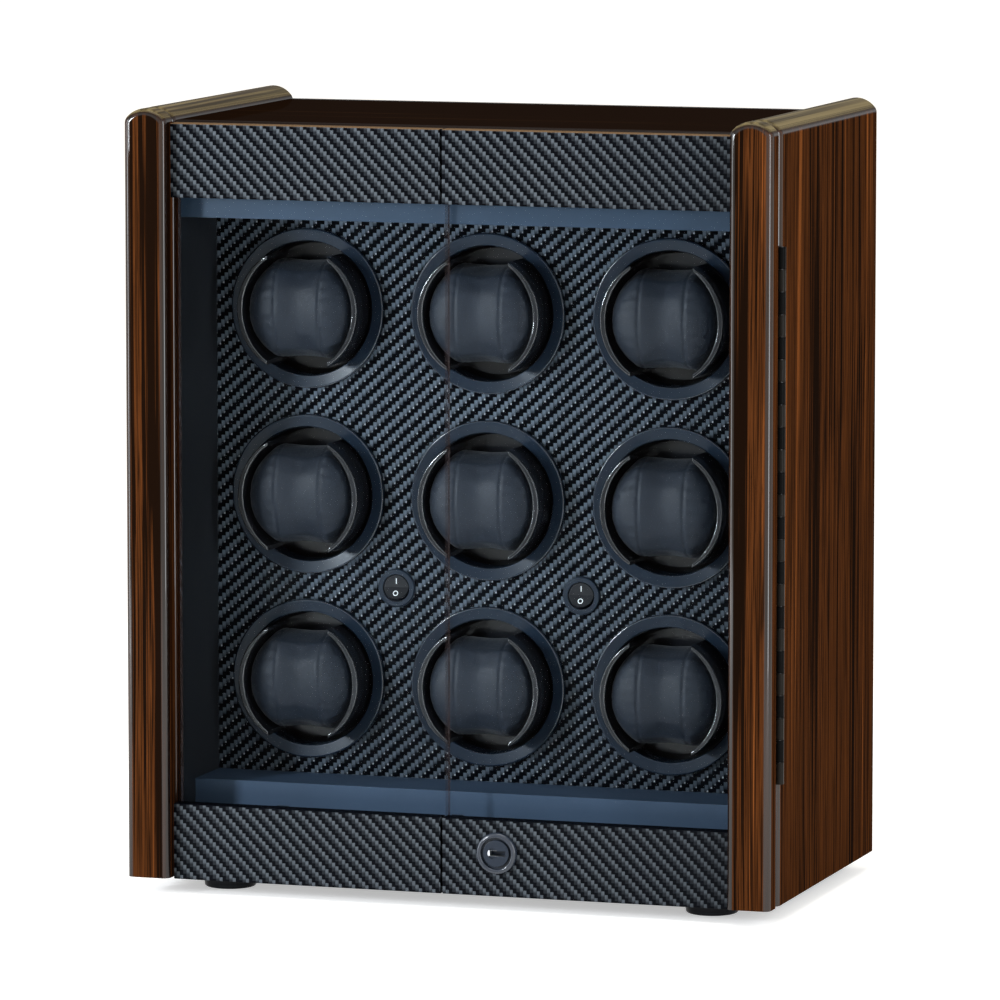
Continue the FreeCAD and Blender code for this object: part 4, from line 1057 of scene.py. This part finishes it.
class WINDER_OT_hardware(bpy.types.Operator):
    """Finish the hinges, lock, catches, clips, screws, jack and drive"""
    bl_idname = "winder.hardware"
    bl_label = "Hardware"

    def execute(self, context):
        look = context.scene.winder_plastic
        # Painted light and shade: the door leaf gets a lighter tone than the board leaf.
        for leaf, tone, shine in (("door", look.hinge_door_lit_tone, 0.06), ("frame", look.hinge_frame_shaded_tone, 0.02)):
            dress([f"{side}_hinge_{leaf}_leaf" for side in SIDES],
                  moulded(f"hinge_{leaf}_paint", tone, roughness=0.32, texture=0.5 * MM,
                          specular=shine))
        dress(["hinge_pins", "lock_cam", "lock_strike", "gear_motors", "back_screws",
               "left_catch_plate", "right_catch_plate"],
              bare_metal("bare_steel", look.steel, roughness=0.32))
        dress(["lock_body"],
              moulded("lock_black", look.lock, roughness=0.22, texture=0.5 * MM, edge_gloss=0.4))
        dress(["lock_plug"], plug_finish("plug_black", look))
        dress(["left_glass_clips", "right_glass_clips", "door_magnets", "power_jack"],
              moulded("small_black", look.satin_black, roughness=0.38, texture=0.4 * MM))
        dress(["feet"],
              moulded("foot_black", look.gloss_black, roughness=0.20, texture=0.6 * MM,
                      specular=0.1, coat=0.02))
        dress(["back_panel", "motor_board"],
              moulded("board_black", look.board, roughness=0.5, texture=0.7 * MM))
        dress(["control_board"],
              moulded("circuit_green", look.circuit, roughness=0.4, texture=0.5 * MM))
        return {"FINISHED"}


STEPS = (WINDER_OT_stage, WINDER_OT_veneer, WINDER_OT_carbon, WINDER_OT_linings, WINDER_OT_glass,
         WINDER_OT_rotors, WINDER_OT_cushions, WINDER_OT_switches, WINDER_OT_hardware)
LOOKS = {"winder_stage": WinderStage, "winder_veneer": WinderVeneer, "winder_carbon": WinderCarbon,
         "winder_glass": WinderGlass, "winder_plastic": WinderPlastic,
         "winder_cushion": WinderCushion, "winder_marks": WinderMarks}


class WINDER_PT_sidebar(bpy.types.Panel):
    """The cabinet's steps in the sidebar"""
    bl_idname = "WINDER_PT_sidebar"
    bl_label = "Watch winder"
    bl_space_type = "VIEW_3D"
    bl_region_type = "UI"
    bl_category = "Winder"

    def draw(self, context):
        for step in STEPS:
            self.layout.operator(step.bl_idname)


def register():
    for look in LOOKS.values():
        bpy.utils.register_class(look)
    for name, look in LOOKS.items():
        setattr(bpy.types.Scene, name, bpy.props.PointerProperty(type=look))
    for step in (*STEPS, WINDER_PT_sidebar):
        bpy.utils.register_class(step)


def unregister():
    for step in reversed((*STEPS, WINDER_PT_sidebar)):
        bpy.utils.unregister_class(step)
    for name in LOOKS:
        delattr(bpy.types.Scene, name)
    for look in LOOKS.values():
        bpy.utils.unregister_class(look)


def main():
    register()
    for step in STEPS:
        group, name = step.bl_idname.split(".")
        getattr(getattr(bpy.ops, group), name)()


if __name__ == "__main__":
    main()
